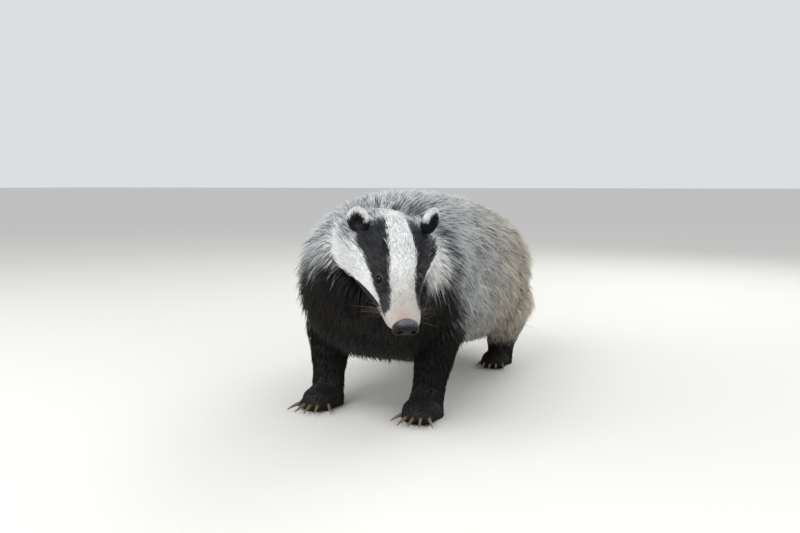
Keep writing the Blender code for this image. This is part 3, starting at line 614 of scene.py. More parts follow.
class Markings:
    """Where the coat is white, black or grizzled. Distances on the head are in metres from the occiput."""

    # Each line is (ahead of the occiput, the size there on the right, the size on the left).
    BLAZE = ((-0.060, 0.011, 0.015), (-0.020, 0.011, 0.016), (0.015, 0.0128, 0.0175), (0.040, 0.0149, 0.0188),
             (0.060, 0.0152, 0.0200), (0.078, 0.0149, 0.0196), (0.089, 0.0151, 0.0186), (0.103, 0.0145, 0.0168),
             (0.114, 0.0152, 0.0168), (0.130, 0.0182, 0.0182))
    STRIPE_FOOT = ((-0.040, 0.017, 0.016), (0.000, 0.020, 0.018), (0.030, 0.0205, 0.0180), (0.053, 0.0193, 0.0155),
                   (0.072, 0.0154, 0.0105), (0.082, 0.0126, 0.0075), (0.095, 0.0075, 0.0045),
                   (0.107, 0.0040, 0.0020), (0.116, -0.0040, -0.0020), (0.133, -0.0050, -0.0030))
    CHEEK_FOOT = ((-0.060, -0.022, -0.010), (-0.020, -0.025, -0.014), (0.000, -0.0265, -0.016),
                  (0.033, -0.0255, -0.018), (0.060, -0.0215, -0.020), (0.080, -0.0205, -0.0205),
                  (0.100, -0.0175, -0.0175), (0.125, -0.0155, -0.0155), (0.140, -0.0150, -0.0150))
    STRIPE_START = 0.004
    STRIPE_END = 0.1310
    # The pattern is turned about the skull behind the eyes, as the photograph shows it.
    TURN = math.radians(7.0)
    # Heights below which the trunk is black, by the place along it.
    BLACK_BELOW = ((-0.38, 0.276), (-0.34, 0.268), (-0.27, 0.256), (-0.20, 0.232), (-0.14, 0.180), (-0.08, 0.128),
                   (0.00, 0.095), (0.24, 0.080), (0.34, 0.095))

    def __init__(self, body: Body, hues: Hues) -> None:
        """Keeps the forms that the markings are set out on.

        Args:
            body: the animal's forms.
            hues: its colours.
        """
        self.body = body
        self.hue = {name: linear(code) for name, code in vars(hues).items()}

    @staticmethod
    def line(points: tuple, ahead: Array, x: Array | float = -1.0) -> Array:
        """Sizes read off a line of (place, size) or (place, size on the right, size on the left)."""
        places, *sizes = np.array(points).T
        return np.where(x < 0, np.interp(ahead, places, sizes[0]), np.interp(ahead, places, sizes[-1]))

    def face(self, points: Array, fuzz: Array, own: Array) -> tuple[Array, Array]:
        """Colours of the head's pattern.

        Args:
            points: the places in the row frame.
            fuzz: how far each hair's colour strays over an edge.
            own: 1 on the head itself and 0 on the neck round it.

        Returns:
            The colours, and how much of them holds at each place.
        """
        x, ahead, up = self.body.in_head(points).T
        turn = self.TURN * smooth_step(0.105, 0.060, ahead)
        x, up = x * np.cos(turn) - up * np.sin(turn), x * np.sin(turn) + up * np.cos(turn)
        count = len(points)
        soft = 0.0014
        beside = np.abs(x) - self.line(self.BLAZE, ahead, x) + fuzz
        above = up - self.line(self.STRIPE_FOOT, ahead, x) + fuzz
        stripe = smooth_step(-soft, soft, beside) * smooth_step(-soft, soft, above)
        stripe *= smooth_step(self.STRIPE_END + soft, self.STRIPE_END - soft, ahead + fuzz)
        stripe *= smooth_step(self.STRIPE_START - 0.012, self.STRIPE_START + 0.008, ahead + fuzz * 3)
        throat = smooth_step(soft, -soft, up - self.line(self.CHEEK_FOOT, ahead, x) + fuzz * 2)
        throat *= (1 - smooth_step(0.098, 0.112, ahead)) * own
        crown = smooth_step(0.010, -0.006, ahead + fuzz * 4) * smooth_step(-0.001, 0.006, beside) * (above > 0)
        colour = np.tile(self.hue["white"], (count, 1))
        colour = blend(colour, np.tile(self.hue["cream"], (count, 1)), smooth_step(0.076, 0.128, ahead))
        snout = smooth_step(0.126, 0.145, ahead + fuzz * 3) * smooth_step(-0.002, 0.009, up) * np.exp(-(((x + 0.005) / 0.013) ** 2))
        colour = blend(colour, np.tile(self.hue["blush"], (count, 1)), snout * 0.7)
        colour = blend(colour, np.tile(self.hue["soot"], (count, 1)), throat)
        dark = blend(np.tile(self.hue["slate"], (count, 1)), np.tile(self.hue["black"], (count, 1)),
                     smooth_step(0.005, 0.050, ahead + fuzz * 6))
        colour = blend(colour, dark, stripe)
        fold = smooth_step(0.0022, 0.0008, np.abs(beside - 0.0012)) * smooth_step(0.012, 0.006, np.abs(ahead - 0.087))
        colour = blend(colour, np.tile(self.hue["fold"], (count, 1)), fold * np.where(x < 0, 0.8, 0.2))
        # The white of the cheeks runs on over the neck, further on the left, where the neck is bent away.
        left = x > 0.055
        # On the right the white leaves the place under the ear to the grizzled coat.
        ear_foot = 0.080 * smooth_step(-0.036, -0.046, x) * smooth_step(-0.006, 0.008, up)
        back = np.where(left & (up < 0.02), -0.058, np.where(up < -0.008, -0.044, -0.028))
        back = np.where((up < 0.02) & (own > 0), ear_foot - 0.055, back)
        holds = smooth_step(back - 0.020, back + 0.020, ahead + fuzz * 6) * (1 - crown)
        wide = np.where(left, 0.145, 0.114)
        low = np.where(left, np.interp(ahead, (-0.040, 0.020, 0.050), (-0.066, -0.044, -0.032)),
                       np.interp(ahead, (-0.030, 0.000, 0.015), (-0.042, -0.030, -0.018)))
        near = smooth_step(wide + 0.014, wide - 0.014, np.hypot(x, up) + fuzz * 6)
        edge = np.where(left, 0.012, 0.005)
        near *= smooth_step(low - edge, low + edge, up + fuzz * edge / 0.002)
        limit = 0.045 - 0.9 * np.maximum(x - 0.085, 0)
        near *= np.where(left, smooth_step(limit, limit - 0.030, ahead + fuzz * 6), 1)
        return colour, holds * np.maximum(own, near)

    def trunk(self, points: Array, draw: Array) -> tuple[Array, Array, Array]:
        """Base, band and tip colours of the grizzled coat.

        Args:
            points: the places in the row frame.
            draw: a random share for each, which says how dark its band is.

        Returns:
            The three sets of colours.
        """
        count = len(points)
        rear = smooth_step(-0.12, 0.12, points[:, 1])
        low = smooth_step(0.33, 0.20, points[:, 2])
        warm = rear * (0.6 + 0.4 * low)
        colours = []
        for name in ("base", "band", "tip"):
            grey = np.tile(self.hue[f"grey_{name}"], (count, 1))
            taupe = np.tile(self.hue[f"taupe_{name}"], (count, 1))
            colours.append(blend(grey, taupe, warm))
        base, band, tip = colours
        return base, blend(base, band, 0.10 + 0.85 * draw), tip

    @staticmethod
    def collar(points: Array) -> Array:
        """How far each place is in the darker streaks behind the left cheek."""
        along = smooth_step(-0.275, -0.235, points[:, 1]) * smooth_step(-0.120, -0.175, points[:, 1])
        return along * smooth_step(0.04, 0.08, points[:, 0])

    def throat(self, points: Array, fuzz: Array) -> Array:
        """How black each place on the neck is beside and under the jaw, on the animal's right."""
        x, ahead, up = self.body.in_head(points).T
        beneath = smooth_step(-0.020, -0.032, up + fuzz * 6)
        return beneath * smooth_step(-0.026, -0.006, ahead) * smooth_step(0.030, 0.000, x)

    def under(self, points: Array, keys: Array, fuzz: Array) -> Array:
        """How black each place is on the chest, belly, legs and feet."""
        height = self.line(self.BLACK_BELOW, points[:, 1])
        region = keys[:, 0]
        height = np.where(region == Region.FORELEG.value, 0.170, height)
        height = np.where(region == Region.HINDLEG.value, 0.062, height)
        height = np.where(np.isin(region, (Region.FOREFOOT.value, Region.HINDFOOT.value)), 1.0, height)
        height = np.where(region == Region.TAIL.value, -1.0, height)
        black = smooth_step(height + 0.020, height - 0.020, points[:, 2] + fuzz * 8)
        return np.where(region == Region.SPINE.value, np.maximum(black, self.throat(points, fuzz)), black)

    def ear(self, points: Array, keys: Array, fuzz: Array) -> Array:
        """The ear's colours: dark with a white rim."""
        colour = np.tile(self.hue["black"], (len(points), 1))
        rim = np.zeros(len(points))
        for side in Side:
            back = np.array(self.body.ear(side).inverted())
            local = points @ back[:3, :3].T + back[:3, 3]
            out = np.hypot(local[:, 0] / EAR_HALF[0], local[:, 2] / EAR_HALF[2])
            edge = smooth_step(0.56, 0.70, out + fuzz * 60) * smooth_step(-0.002, 0.003, local[:, 2] + fuzz * 1.2)
            rim = np.where(keys[:, 1] == side.value, edge, rim)
        return blend(colour, np.tile(self.hue["white"], (len(points), 1)), rim)

    def read(self, points: Array, keys: Array, fuzz: Array, draw: Array) -> tuple[Array, Array, Array]:
        """Base, band and tip colours of the hair at each place.

        Args:
            points: the places in the row frame.
            keys: their regions and stations, from the body.
            fuzz: how far each hair's colour strays over an edge, in metres.
            draw: a random share for each.

        Returns:
            The three sets of colours.
        """
        base, band, tip = self.trunk(points, draw)
        soot = np.tile(self.hue["soot"], (len(points), 1))
        under = self.under(points, keys, fuzz)
        own = np.isin(keys[:, 0], (Region.SKULL.value, Region.JAW.value)).astype(float)
        face, holds = self.face(points, fuzz, own)
        ear = self.ear(points, keys, fuzz)
        on_ear = (keys[:, 0] == Region.EAR.value).astype(float)
        found = []
        for colour in (base, band, tip):
            made = blend(colour, soot, under)
            made = blend(made, face, holds)
            # The band and tip of each hair grow a little paler by its random draw: partly paler hair tips and partly a
            # painted sheen on the dark stripes.
            face = blend(face, face + 0.027, draw)
            found.append(blend(made, ear, on_ear))
        return tuple(found)


class Skin:
    """The one skin: body, head, ears, legs and feet, with the lids and the line of the mouth."""

    def __init__(self, body: Body, markings: Markings) -> None:
        """Keeps what the skin is made from.

        Args:
            body: the animal's forms.
            markings: its pattern.
        """
        self.body = body
        self.markings = markings
        self.body_voxel = 0.0049
        self.head_voxel = 0.0011
        self.obj: bpy.types.Object | None = None

    @staticmethod
    def fuse(name: str, pieces: list[bmesh.types.BMesh], voxel: float) -> bpy.types.Object:
        """One closed surface round overlapping closed forms.

        Args:
            name: the object's name.
            pieces: the forms, which are freed.
            voxel: the surface's fineness.

        Returns:
            The object.
        """
        whole = bmesh.new()
        for piece in pieces:
            mesh = bpy.data.meshes.new("piece")
            piece.to_mesh(mesh)
            piece.free()
            whole.from_mesh(mesh)
            bpy.data.meshes.remove(mesh)
        obj = from_bmesh(name, whole)
        modifier = obj.modifiers.new("remesh", "REMESH")
        modifier.mode = "VOXEL"
        modifier.voxel_size = voxel
        apply_modifiers(obj)
        return obj

    def ear_shell(self, side: Side) -> bmesh.types.BMesh:
        """One ear, hollowed to a cup whose rim is thin."""
        shell = from_bmesh("ear", ellipsoid(tuple(h - 0.0012 for h in EAR_HALF), self.body.ear(side), 40, 28))
        cup_at = self.body.ear(side) @ Matrix.Translation((0, -0.0070, -EAR_CUP_LOW))
        boolean(shell, from_bmesh("cup", ellipsoid(EAR_CUP_HALF, cup_at, 40, 28)), "DIFFERENCE")
        made = bmesh.new()
        made.from_mesh(shell.data)
        bpy.data.objects.remove(shell)
        return made

    def orbit(self, side: Side) -> list[bmesh.types.BMesh]:
        """The mound that the eye sits in, with an upper and a lower lid over the eyeball."""
        eye = self.body.eye(side)
        made = [ellipsoid((0.0115, 0.0098, 0.0062), eye @ Matrix.Translation((0.0008, 0, -0.0010)))]
        for rise, thick, bow in ((1, 0.0014, 0.0066), (-1, 0.0012, 0.0063)):
            path = []
            for k in range(13):
                turn = math.pi * k / 12
                x = math.cos(turn) * 0.0074
                y = math.sin(turn) * bow * rise
                z = math.sqrt(max(0.0072**2 - x * x - y * y, 0.0022**2))
                path.append(eye @ Vector((x + 0.0004, y, z)))
            for place, after in zip(path, path[1:]):
                middle = (place + after) / 2
                turn = (after - place).to_track_quat("X", "Z").to_matrix().to_4x4()
                made.append(ellipsoid((0.0018, thick, thick), Matrix.Translation(middle) @ turn, 12, 8))
        return made

    def mouth_path(self, tree: BVHTree) -> Array:
        """Close-set points along the line of the mouth, on the skin."""
        back = self.body.head
        turn = back.to_3x3()
        found = []
        for x, y, z, way in (
            [(0.1, -ahead, z, (-1, 0, 0)) for ahead, z in MOUTH_SIDE]
            + [(x, -0.3, z, (0, 1, 0)) for x, z in (*MOUTH_FRONT, MOUTH_MIDDLE)]
        ):
            hit = tree.ray_cast(back @ Vector((x, y, z)), turn @ Vector(way))[0]
            found.append(back.inverted() @ hit)
        rows = np.array(found)
        rows = np.vstack([rows, (rows[:-1] * (-1, 1, 1))[::-1]])
        t = np.linspace(0, len(rows) - 1, 160)
        rows = np.column_stack([np.interp(t, np.arange(len(rows)), column) for column in rows.T])
        place = np.array(back)
        return rows @ place[:3, :3].T + place[:3, 3]

    def sculpt(self, obj: bpy.types.Object) -> None:
        """Presses the line of the mouth, the hollow before the eye and the pads of the lips into the head."""
        mesh = obj.data
        points, normals = vertices_of(mesh), normals_of(mesh)
        x, ahead, up = self.body.in_head(points).T
        front = np.flatnonzero(ahead > 0.070)
        path = self.mouth_path(BVHTree.FromPolygons([v.co for v in mesh.vertices], [p.vertices for p in mesh.polygons]))
        gap = np.linalg.norm(points[front, None, :] - path[None, ::2, :], axis=2).min(axis=1)
        push = np.zeros(len(points))
        push[front] += -0.0021 * np.exp(-((gap / 0.0011) ** 2)) + 0.0006 * np.exp(-(((gap - 0.0028) / 0.0014) ** 2))
        across = np.abs(x)
        push += 0.0009 * np.exp(-(((across - 0.016) / 0.007) ** 2 + ((ahead - 0.129) / 0.010) ** 2 + (up / 0.008) ** 2))
        push += -0.0012 * np.exp(-(((across - 0.020) / 0.005) ** 2 + ((ahead - 0.103) / 0.009) ** 2
                                   + ((up - 0.014) / 0.008) ** 2))
        push += -0.0010 * np.exp(-((across / 0.0030) ** 2 + ((ahead - 0.146) / 0.010) ** 2 + ((up + 0.006) / 0.006) ** 2))
        set_vertices(mesh, points + normals * push[:, None])

    def build(self) -> bpy.types.Object:
        """The skin's mesh.

        Returns:
            The object, which replaces the nodes of flesh.
        """
        body = self.body
        trunk = [body.spine.build(120, 64), body.tail.build(50, 32)]
        trunk += [loft.build(60, 36) for loft in body.legs.values()]
        for foot in (FORE, HIND):
            for side in Side:
                trunk += foot.pieces(side)
        self.obj = self.fuse("skin", trunk, self.body_voxel)
        head = [body.skull.build(160, 96), body.jaw.build(80, 64)]
        for side in Side:
            head += [self.ear_shell(side), *self.orbit(side)]
        front = self.fuse("head", head, self.head_voxel)
        for side in Side:
            socket = ellipsoid([EYE_RADIUS + 0.0001] * 3, body.eye(side), 40, 28)
            boolean(front, from_bmesh("socket", socket), "DIFFERENCE", "MANIFOLD")
            window = ellipsoid((0.0062, 0.0056, 0.0072), body.eye(side) @ Matrix.Translation((0, 0, 0.0070)), 32, 20)
            boolean(front, from_bmesh("window", window), "DIFFERENCE", "MANIFOLD")
        self.sculpt(front)
        boolean(self.obj, front, "UNION", "MANIFOLD")
        points = vertices_of(self.obj.data)
        points[:, 2] = np.maximum(points[:, 2], 0.0004)
        set_vertices(self.obj.data, points)
        self.obj.data.shade_smooth()
        return self.obj

    def dress(self, material: bpy.types.Material) -> None:
        """Colours the skin as the coat over it and hangs it on the frame.

        Args:
            material: the furred hide.
        """
        mesh = self.obj.data
        points, normals = vertices_of(mesh), normals_of(mesh)
        keys = self.body.read(points)
        still = np.zeros(len(points))
        base, band, tip = self.markings.read(points, keys, still, still + 0.6)
        colour = (base + band + tip) / 3
        bare = np.zeros(len(points))
        hue = self.markings.hue
        for side in Side:
            back = np.array(self.body.eye(side).inverted())
            local = points @ back[:3, :3].T + back[:3, 3]
            near = np.hypot(local[:, 0] / 1.25, local[:, 1])
            lid = smooth_step(0.0076, 0.0060, near) * (local[:, 2] > -0.004)
            colour = blend(colour, np.tile(hue["lid"], (len(points), 1)), lid)
            corner = smooth_step(0.0016, 0.0009, np.hypot(local[:, 0] - 0.0062, local[:, 1])) * (local[:, 2] > 0)
            colour = blend(colour, np.tile(hue["fold"], (len(points), 1)), corner)
            bare = np.maximum(bare, lid)
            back = np.array(self.body.ear(side).inverted())
            local = points @ back[:3, :3].T + back[:3, 3]
            inside = np.hypot(local[:, 0] / EAR_CUP_HALF[0], (local[:, 2] + EAR_CUP_LOW) / EAR_CUP_HALF[2]) < 1
            inside &= (local[:, 1] < 0) & (local[:, 1] > -0.0078)
            colour = blend(colour, np.tile(hue["ear_skin"], (len(points), 1)), inside.astype(float))
        set_colours(mesh, "hair", colour)
        mesh.attributes.new("bare", "FLOAT", "POINT").data.foreach_set("value", bare.astype(np.float32))
        mesh.materials.clear()
        mesh.materials.append(material)
        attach(self.obj, ROOT)
        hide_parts("torso", "neck", "tail", "head", "ear_left", "ear_right", "foreleg_left",
                    "foreleg_right", "hindleg_left", "hindleg_right")


class TuftForm(Enum):
    """A tuft's rings from root to tip, each with its share of the length and of the width. The tip is a point."""

    LONG = ((0.0, 0.85), (0.55, 0.90))
    SHORT = ((0.0, 1.0), (0.5, 0.82))

    def faces(self) -> Array:
        """The triangles of one tuft, by its own point numbers."""
        rings = len(self.value)
        made = [(0, 1, 2)]
        for ring in range(rings - 1):
            for k in range(3):
                n = (k + 1) % 3
                low, high = 3 * ring, 3 * ring + 3
                made += [(low + k, high + k, high + n), (low + k, high + n, low + n)]
        tip = 3 * rings
        made += [(tip - 3 + k, tip, tip - 3 + (k + 1) % 3) for k in range(3)]
        return np.array(made)

    def patch(self) -> Array:
        """Where each corner of each triangle lies in the tuft's own square patch."""
        rings = len(self.value)
        shares = [share for share, _ in self.value] + [1.0]
        made = [((0.0, 0.0), (0.5, 0.0), (1.0, 0.0))]
        for ring in range(rings - 1):
            low, high = shares[ring], shares[ring + 1]
            for k in range(3):
                a, b = k / 3, (k + 1) / 3
                made += [((a, low), (a, high), (b, high)), ((a, low), (b, high), (b, low))]
        low = shares[-2]
        made += [((k / 3, low), ((k + 0.5) / 3, 1.0), ((k + 1) / 3, low)) for k in range(3)]
        return np.array(made)


@dataclass
class Tufts:
    """Many tufts of hair, one row each."""

    root: Array
    normal: Array
    flow: Array
    place: Array
    length: Array
    width: Array
    slope: Array
    round: Array
    sway: Array
    pull: Array
    base: Array
    band: Array
    tip: Array
    # The share of the base colour kept at each root; the rest is painted shade deep in the coat.
    shade: Array

    SINK = 0.0004
    FLATNESS = 0.6
    SETTLE = 0.30
    PATCH = 0.003

    def take(self, rows: Array) -> Tufts:
        """Only these tufts."""
        return Tufts(**{name: getattr(self, name)[rows] for name in self.__dataclass_fields__})

    def ring(self, share: float, taper: float) -> Array:
        """The three corners of every tuft at a share of its length, or its tip where the taper is nothing."""
        reach = self.length * share
        rise = reach * self.slope * (1 - self.SETTLE * share) - reach**2 / (2 * self.round)
        side = np.cross(self.flow, self.normal)
        middle = self.root - self.normal * self.SINK
        middle = middle + self.flow * reach[:, None] + self.normal * rise[:, None]
        middle += side * (self.sway * self.length * share**2)[:, None] + self.pull * share**1.6
        if not taper:
            return middle[:, None, :]
        climb = self.slope * (1 - 2 * self.SETTLE * share) - reach / self.round
        ahead = unit(self.flow + self.normal * climb[:, None])
        over = on_surface(self.normal, ahead)
        corners = []
        for turn in (90, 210, 330):
            cos, sin = math.cos(math.radians(turn)), math.sin(math.radians(turn))
            spoke = side * cos + over * (sin * self.FLATNESS)
            corners.append(middle + spoke * (self.width * taper / 2)[:, None])
        return np.stack(corners, axis=1)

    def colours(self) -> Array:
        """A colour for every point: the base at the root, darkened as painted shade deep in the coat, then the band and
        the tip.
        """
        rows = [np.repeat(colour[:, None, :], 3, axis=1) for colour in (self.base * self.shade[:, None], self.band)]
        return np.concatenate([*rows, self.tip[:, None, :]], axis=1)

    def mesh(self, name: str, form: TuftForm) -> bpy.types.Mesh:
        """One mesh of all the tufts, each a closed solid.

        Args:
            name: the mesh's name.
            form: the tufts' rings.

        Returns:
            The mesh, with the hair's colours and the map OFBake.
        """
        rings = [self.ring(share, taper) for share, taper in form.value] + [self.ring(1.0, 0.0)]
        points = np.concatenate(rings, axis=1)
        count, each = points.shape[:2]
        points = points.reshape(-1, 3)
        points[:, 2] = np.maximum(points[:, 2], 0.0003)
        local = form.faces()
        faces = (np.arange(count)[:, None, None] * each + local[None]).reshape(-1)
        made = bpy.data.meshes.new(name)
        made.vertices.add(len(points))
        made.vertices.foreach_set("co", points.astype(np.float32).ravel())
        made.loops.add(len(faces))
        made.loops.foreach_set("vertex_index", faces.astype(np.int32))
        made.polygons.add(len(faces) // 3)
        made.polygons.foreach_set("loop_start", np.arange(0, len(faces), 3, dtype=np.int32))
        made.update(calc_edges=True)
        made.shade_smooth()
        corner = self.place[:, None, None, :] + (form.patch()[None] - 0.5) * self.PATCH
        made.uv_layers.new(name="OFBake").data.foreach_set("uv", corner.astype(np.float32).ravel())
        set_colours(made, "hair", self.colours().reshape(-1, 3))
        return made


@dataclass
class CoatArea:
    """One stretch of coat: which regions it covers, how close the tufts stand, and how they look, with the painted
    shade at their roots.
    """

    name: str
    regions: tuple[Region, ...]
    spacing: float
    form: TuftForm
    width: float
    clump: float
    clump_pull: float
    slope: float
    slot: str
    # How much of the base colour the roots keep: painted shade deep in the coat, 1 for none.
    shade: float = 0.55
    reach: float = 2.35


class Coat:
    """The hair: thin solid tufts over the whole skin, longest on the trunk and finest on the face and feet."""

    AREAS = (
        CoatArea("trunk", (Region.SPINE,), 0.00222, TuftForm.LONG, 0.0016, 0.012, 0.42, 0.68, "grey_coat", 0.55, 1.72),
        CoatArea("tail", (Region.TAIL,), 0.0026, TuftForm.LONG, 0.0018, 0.012, 0.35, 0.42, "grey_coat"),
        CoatArea("face", (Region.SKULL, Region.JAW), 0.00122, TuftForm.SHORT, 0.00095, 0.005, 0.20, 0.26,
                 "face_coat", 0.60),
        CoatArea("ears", (Region.EAR,), 0.00088, TuftForm.SHORT, 0.0009, 0.004, 0.15, 0.42, "ear_coat", 0.80),
        CoatArea("legs", (Region.FORELEG, Region.HINDLEG), 0.0026, TuftForm.SHORT, 0.0018, 0.010, 0.30, 0.40,
                 "leg_coat"),
        CoatArea("feet", (Region.FOREFOOT, Region.HINDFOOT), 0.0020, TuftForm.SHORT, 0.0012, 0.006, 0.20, 0.28,
                 "leg_coat"),
    )
    LARGEST_PIECE = 190_000
    SHORTEST = 0.0008
    EYE_REACH = 0.024
    DOWNWARD = 0.75

    def __init__(self, body: Body, markings: Markings, skin: bpy.types.Object, seed: int) -> None:
        """Keeps what the coat grows on.

        Args:
            body: the animal's forms.
            markings: its pattern.
            skin: the skin.
            seed: fixes every random draw.
        """
        self.body = body
        self.markings = markings
        self.skin = skin
        self.draw = np.random.default_rng(seed)
        self.quarter = 1.0

    def triangles(self) -> tuple[Array, Array, Array]:
        """The skin's triangles by point number, with its points and smooth normals."""
        mesh = self.skin.data
        mesh.calc_loop_triangles()
        rows = np.empty(len(mesh.loop_triangles) * 3, np.int32)
        mesh.loop_triangles.foreach_get("vertices", rows)
        return rows.reshape(-1, 3), vertices_of(mesh), normals_of(mesh)

    def roots(self, area: CoatArea, faces: Array, points: Array, normals: Array, regions: Array) -> tuple[Array, Array]:
        """Places for one area's tufts, spread evenly over its skin.

        Args:
            area: the stretch of coat.
            faces: the skin's triangles.
            points: the skin's points.
            normals: the skin's normals.
            regions: the region of each point.

        Returns:
            The places and the normals there.
        """
        inside = np.isin(regions[faces[:, 0]], [region.value for region in area.regions])
        faces = faces[inside]
        a, b, c = (points[faces[:, k]] for k in range(3))
        size = np.linalg.norm(np.cross(b - a, c - a), axis=1) / 2
        size *= self.closeness(area, (a + b + c) / 3)
        count = int(self.quarter * size.sum() / area.spacing**2)
        chosen = self.draw.choice(len(faces), count, p=size / size.sum())
        share = np.sqrt(self.draw.random(count))
        other = self.draw.random(count)
        weights = np.column_stack([1 - share, share * (1 - other), share * other])
        corners = faces[chosen]
        place = sum(weights[:, k, None] * points[corners[:, k]] for k in range(3))
        normal = sum(weights[:, k, None] * normals[corners[:, k]] for k in range(3))
        return place, unit(normal)

    def closeness(self, area: CoatArea, points: Array) -> Array:
        """How much closer the tufts stand at each place than the area's spacing says."""
        if area.name != "face":
            return np.ones(len(points))
        ahead = self.body.in_head(points)[:, 1]
        return np.interp(ahead, (-0.05, 0.02, 0.08, 0.12, 0.15), (0.30, 0.45, 1.0, 1.4, 1.5))

    def depth(self, keys: Array) -> Array:
        """The coat's depth at each place, from the stations."""
        found = np.full(len(keys), 0.0022)
        for region, loft in self.body.lofts():
            rows = np.flatnonzero(keys[:, 0] == region.value)
            if len(rows):
                found[rows] = loft.sizes(keys[rows, 2])[:, 7]
        found[keys[:, 0] == Region.EAR.value] = 0.0020
        return found

    def flow(self, points: Array, normals: Array, keys: Array) -> Array:
        """The way the hair lies: back from the nose, along the trunk and down, and down the legs."""
        head = np.array(self.body.head)[:3, :3]
        local = self.body.in_head(points)
        count = len(points)
        down = np.tile((0.0, 0.0, -1.0), (count, 1))
        lie = np.tile((0.0, 1.0, 0.0), (count, 1))
        spine = keys[:, 0] == Region.SPINE.value
        lie[spine] = -self.body.spine.along(keys[spine, 2])
        lie += down * self.DOWNWARD
        fan = np.column_stack([0.35 * np.sign(local[:, 0]) * smooth_step(0.012, 0.045, np.abs(local[:, 0])),
                               np.ones(count), -0.30 * smooth_step(0.02, 0.05, np.abs(local[:, 0]))])
        on_head = np.isin(keys[:, 0], (Region.SKULL.value, Region.JAW.value))
        lie[on_head] = fan[on_head] @ head.T
        tail = keys[:, 0] == Region.TAIL.value
        lie[tail] = self.body.tail.along(keys[tail, 2])
        leg = np.isin(keys[:, 0], (Region.FORELEG.value, Region.HINDLEG.value))
        lie[leg] = down[leg] + (0, 0.35, 0)
        foot = np.isin(keys[:, 0], (Region.FOREFOOT.value, Region.HINDFOOT.value))
        lie[foot] = down[foot] * 0.5 + (0, -1.0, 0)
        ear = keys[:, 0] == Region.EAR.value
        for side in Side:
            rows = ear & (keys[:, 1] == side.value)
            lie[rows] = np.array(self.body.ear(side))[:3, 2]
        return on_surface(lie, normals)

    def grow(self, area: CoatArea, roots: Array, normals: Array) -> tuple[Tufts, Array]:
        """One area's tufts.

        Args:
            area: the stretch of coat.
            roots: where they stand.
            normals: the skin's normals there.

        Returns:
            The tufts and their places on the body.
        """
        count = len(roots)
        keys = self.body.read(roots)
        depth = self.depth(keys)
        draw = self.draw.normal
        flow = self.flow(roots, normals, keys)
        side = np.cross(flow, normals)
        flow = on_surface(flow + side * draw(0, 0.10, (count, 1)), normals)
        clumps = self.draw.choice(count, max(1, int(count * (area.spacing / area.clump) ** 2)), replace=False)
        tree = KDTree(len(clumps))
        for index, row in enumerate(clumps):
            tree.insert(roots[row], index)
        tree.balance()
        own = np.array([tree.find(root)[1] for root in roots])
        gap = roots[clumps[own]] - roots
        pull = gap - normals * np.sum(gap * normals, axis=1, keepdims=True)
        pull *= np.minimum(1, area.clump / np.maximum(np.linalg.norm(pull, axis=1, keepdims=True), 1e-9))
        tone = self.draw.random(len(clumps))[own]
        length = depth * area.reach * np.exp(np.clip(draw(0, 0.12, count), -0.25, 0.25))
        cheek = self.cheek(keys, roots)
        reach = length * (1 + 0.75 * cheek)
        if area.name == "face":
            reach = reach * self.kept(roots)
        neck = smooth_step(-0.12, -0.22, roots[:, 1])
        mixed = (0.9 + 0.4 * neck) * (tone - 0.5) + 0.4 * self.draw.random(count) + 0.30 + draw(0, 0.12, count)
        mixed = np.clip(mixed + 0.45 * self.markings.collar(roots), 0, 1)
        base, band, tip = self.markings.read(roots, keys, draw(0, 0.0011, count), mixed)
        shine = np.exp(draw(0, 0.10, (count, 1)))
        tufts = Tufts(
            root=roots,
            normal=normals,
            flow=flow,
            place=self.chart(keys),
            length=reach,
            width=area.width * np.exp(np.clip(draw(0, 0.18, count), -0.4, 0.4)) * self.coarseness(area, keys, roots),
            slope=area.slope * np.exp(np.clip(draw(0, 0.16, count), -0.3, 0.3)) * (1 + 1.6 * cheek),
            round=np.interp(depth, (0.001, 0.01, 0.03), (0.030, 0.060, 0.150)) * (1 + 2 * cheek),
            sway=np.clip(draw(0, 0.06, count), -0.11, 0.11),
            pull=pull * (area.clump_pull * self.draw.uniform(0.6, 1.2, (count, 1))),
            base=base * shine,
            band=band * shine,
            tip=tip * shine,
            shade=np.full(count, area.shade),
        )
        return tufts, keys

    def coarseness(self, area: CoatArea, keys: Array, points: Array) -> Array:
        """How much wider than the area's width the tufts are at each place."""
        if area.name != "face":
            return np.ones(len(keys))
        ahead = self.body.in_head(points)[:, 1]
        return np.interp(ahead, (-0.05, 0.02, 0.08, 0.15), (1.7, 1.4, 1.0, 0.75))

    def lift(self, tufts: Tufts) -> None:
        """Tilts up the tufts round the eyes that would run into the skin where it rises to the lids."""
        eyes = [np.array(self.body.eye(side).translation) for side in Side]
        gap = np.min([np.linalg.norm(tufts.root - eye, axis=1) for eye in eyes], axis=0)
        rows = np.flatnonzero((gap < self.EYE_REACH) & (tufts.length > self.SHORTEST))
        near = tufts.take(rows)
        skin = BVHTree.FromObject(self.skin, bpy.context.evaluated_depsgraph_get())
        for share, clear in ((0.5, 0.0004), (1.0, 0.0006)):
            height = np.empty(len(rows))
            for row, place in enumerate(near.ring(share, 0.0)[:, 0]):
                at, normal, *_ = skin.find_nearest(Vector(place))
                height[row] = (Vector(place) - at).dot(normal)
            near.slope += np.maximum(0.0, clear - height) / (near.length * share)
        tufts.slope[rows] = near.slope

    def cheek(self, keys: Array, points: Array) -> Array:
        """1 on the back of the cheeks, where the white hair stands out over the neck, and 0 elsewhere."""
        x, ahead, up = self.body.in_head(points).T
        share = smooth_step(0.030, 0.050, np.abs(x)) * smooth_step(0.078, 0.030, ahead) * smooth_step(0.026, 0.010, up)
        return share * np.isin(keys[:, 0], (Region.SKULL.value, Region.JAW.value))

    def kept(self, points: Array) -> Array:
        """The share of its length that each tuft keeps: nothing over the eyes and little by the ears."""
        share = np.ones(len(points))
        for side in Side:
            back = np.array(self.body.eye(side).inverted())
            local = points @ back[:3, :3].T + back[:3, 3]
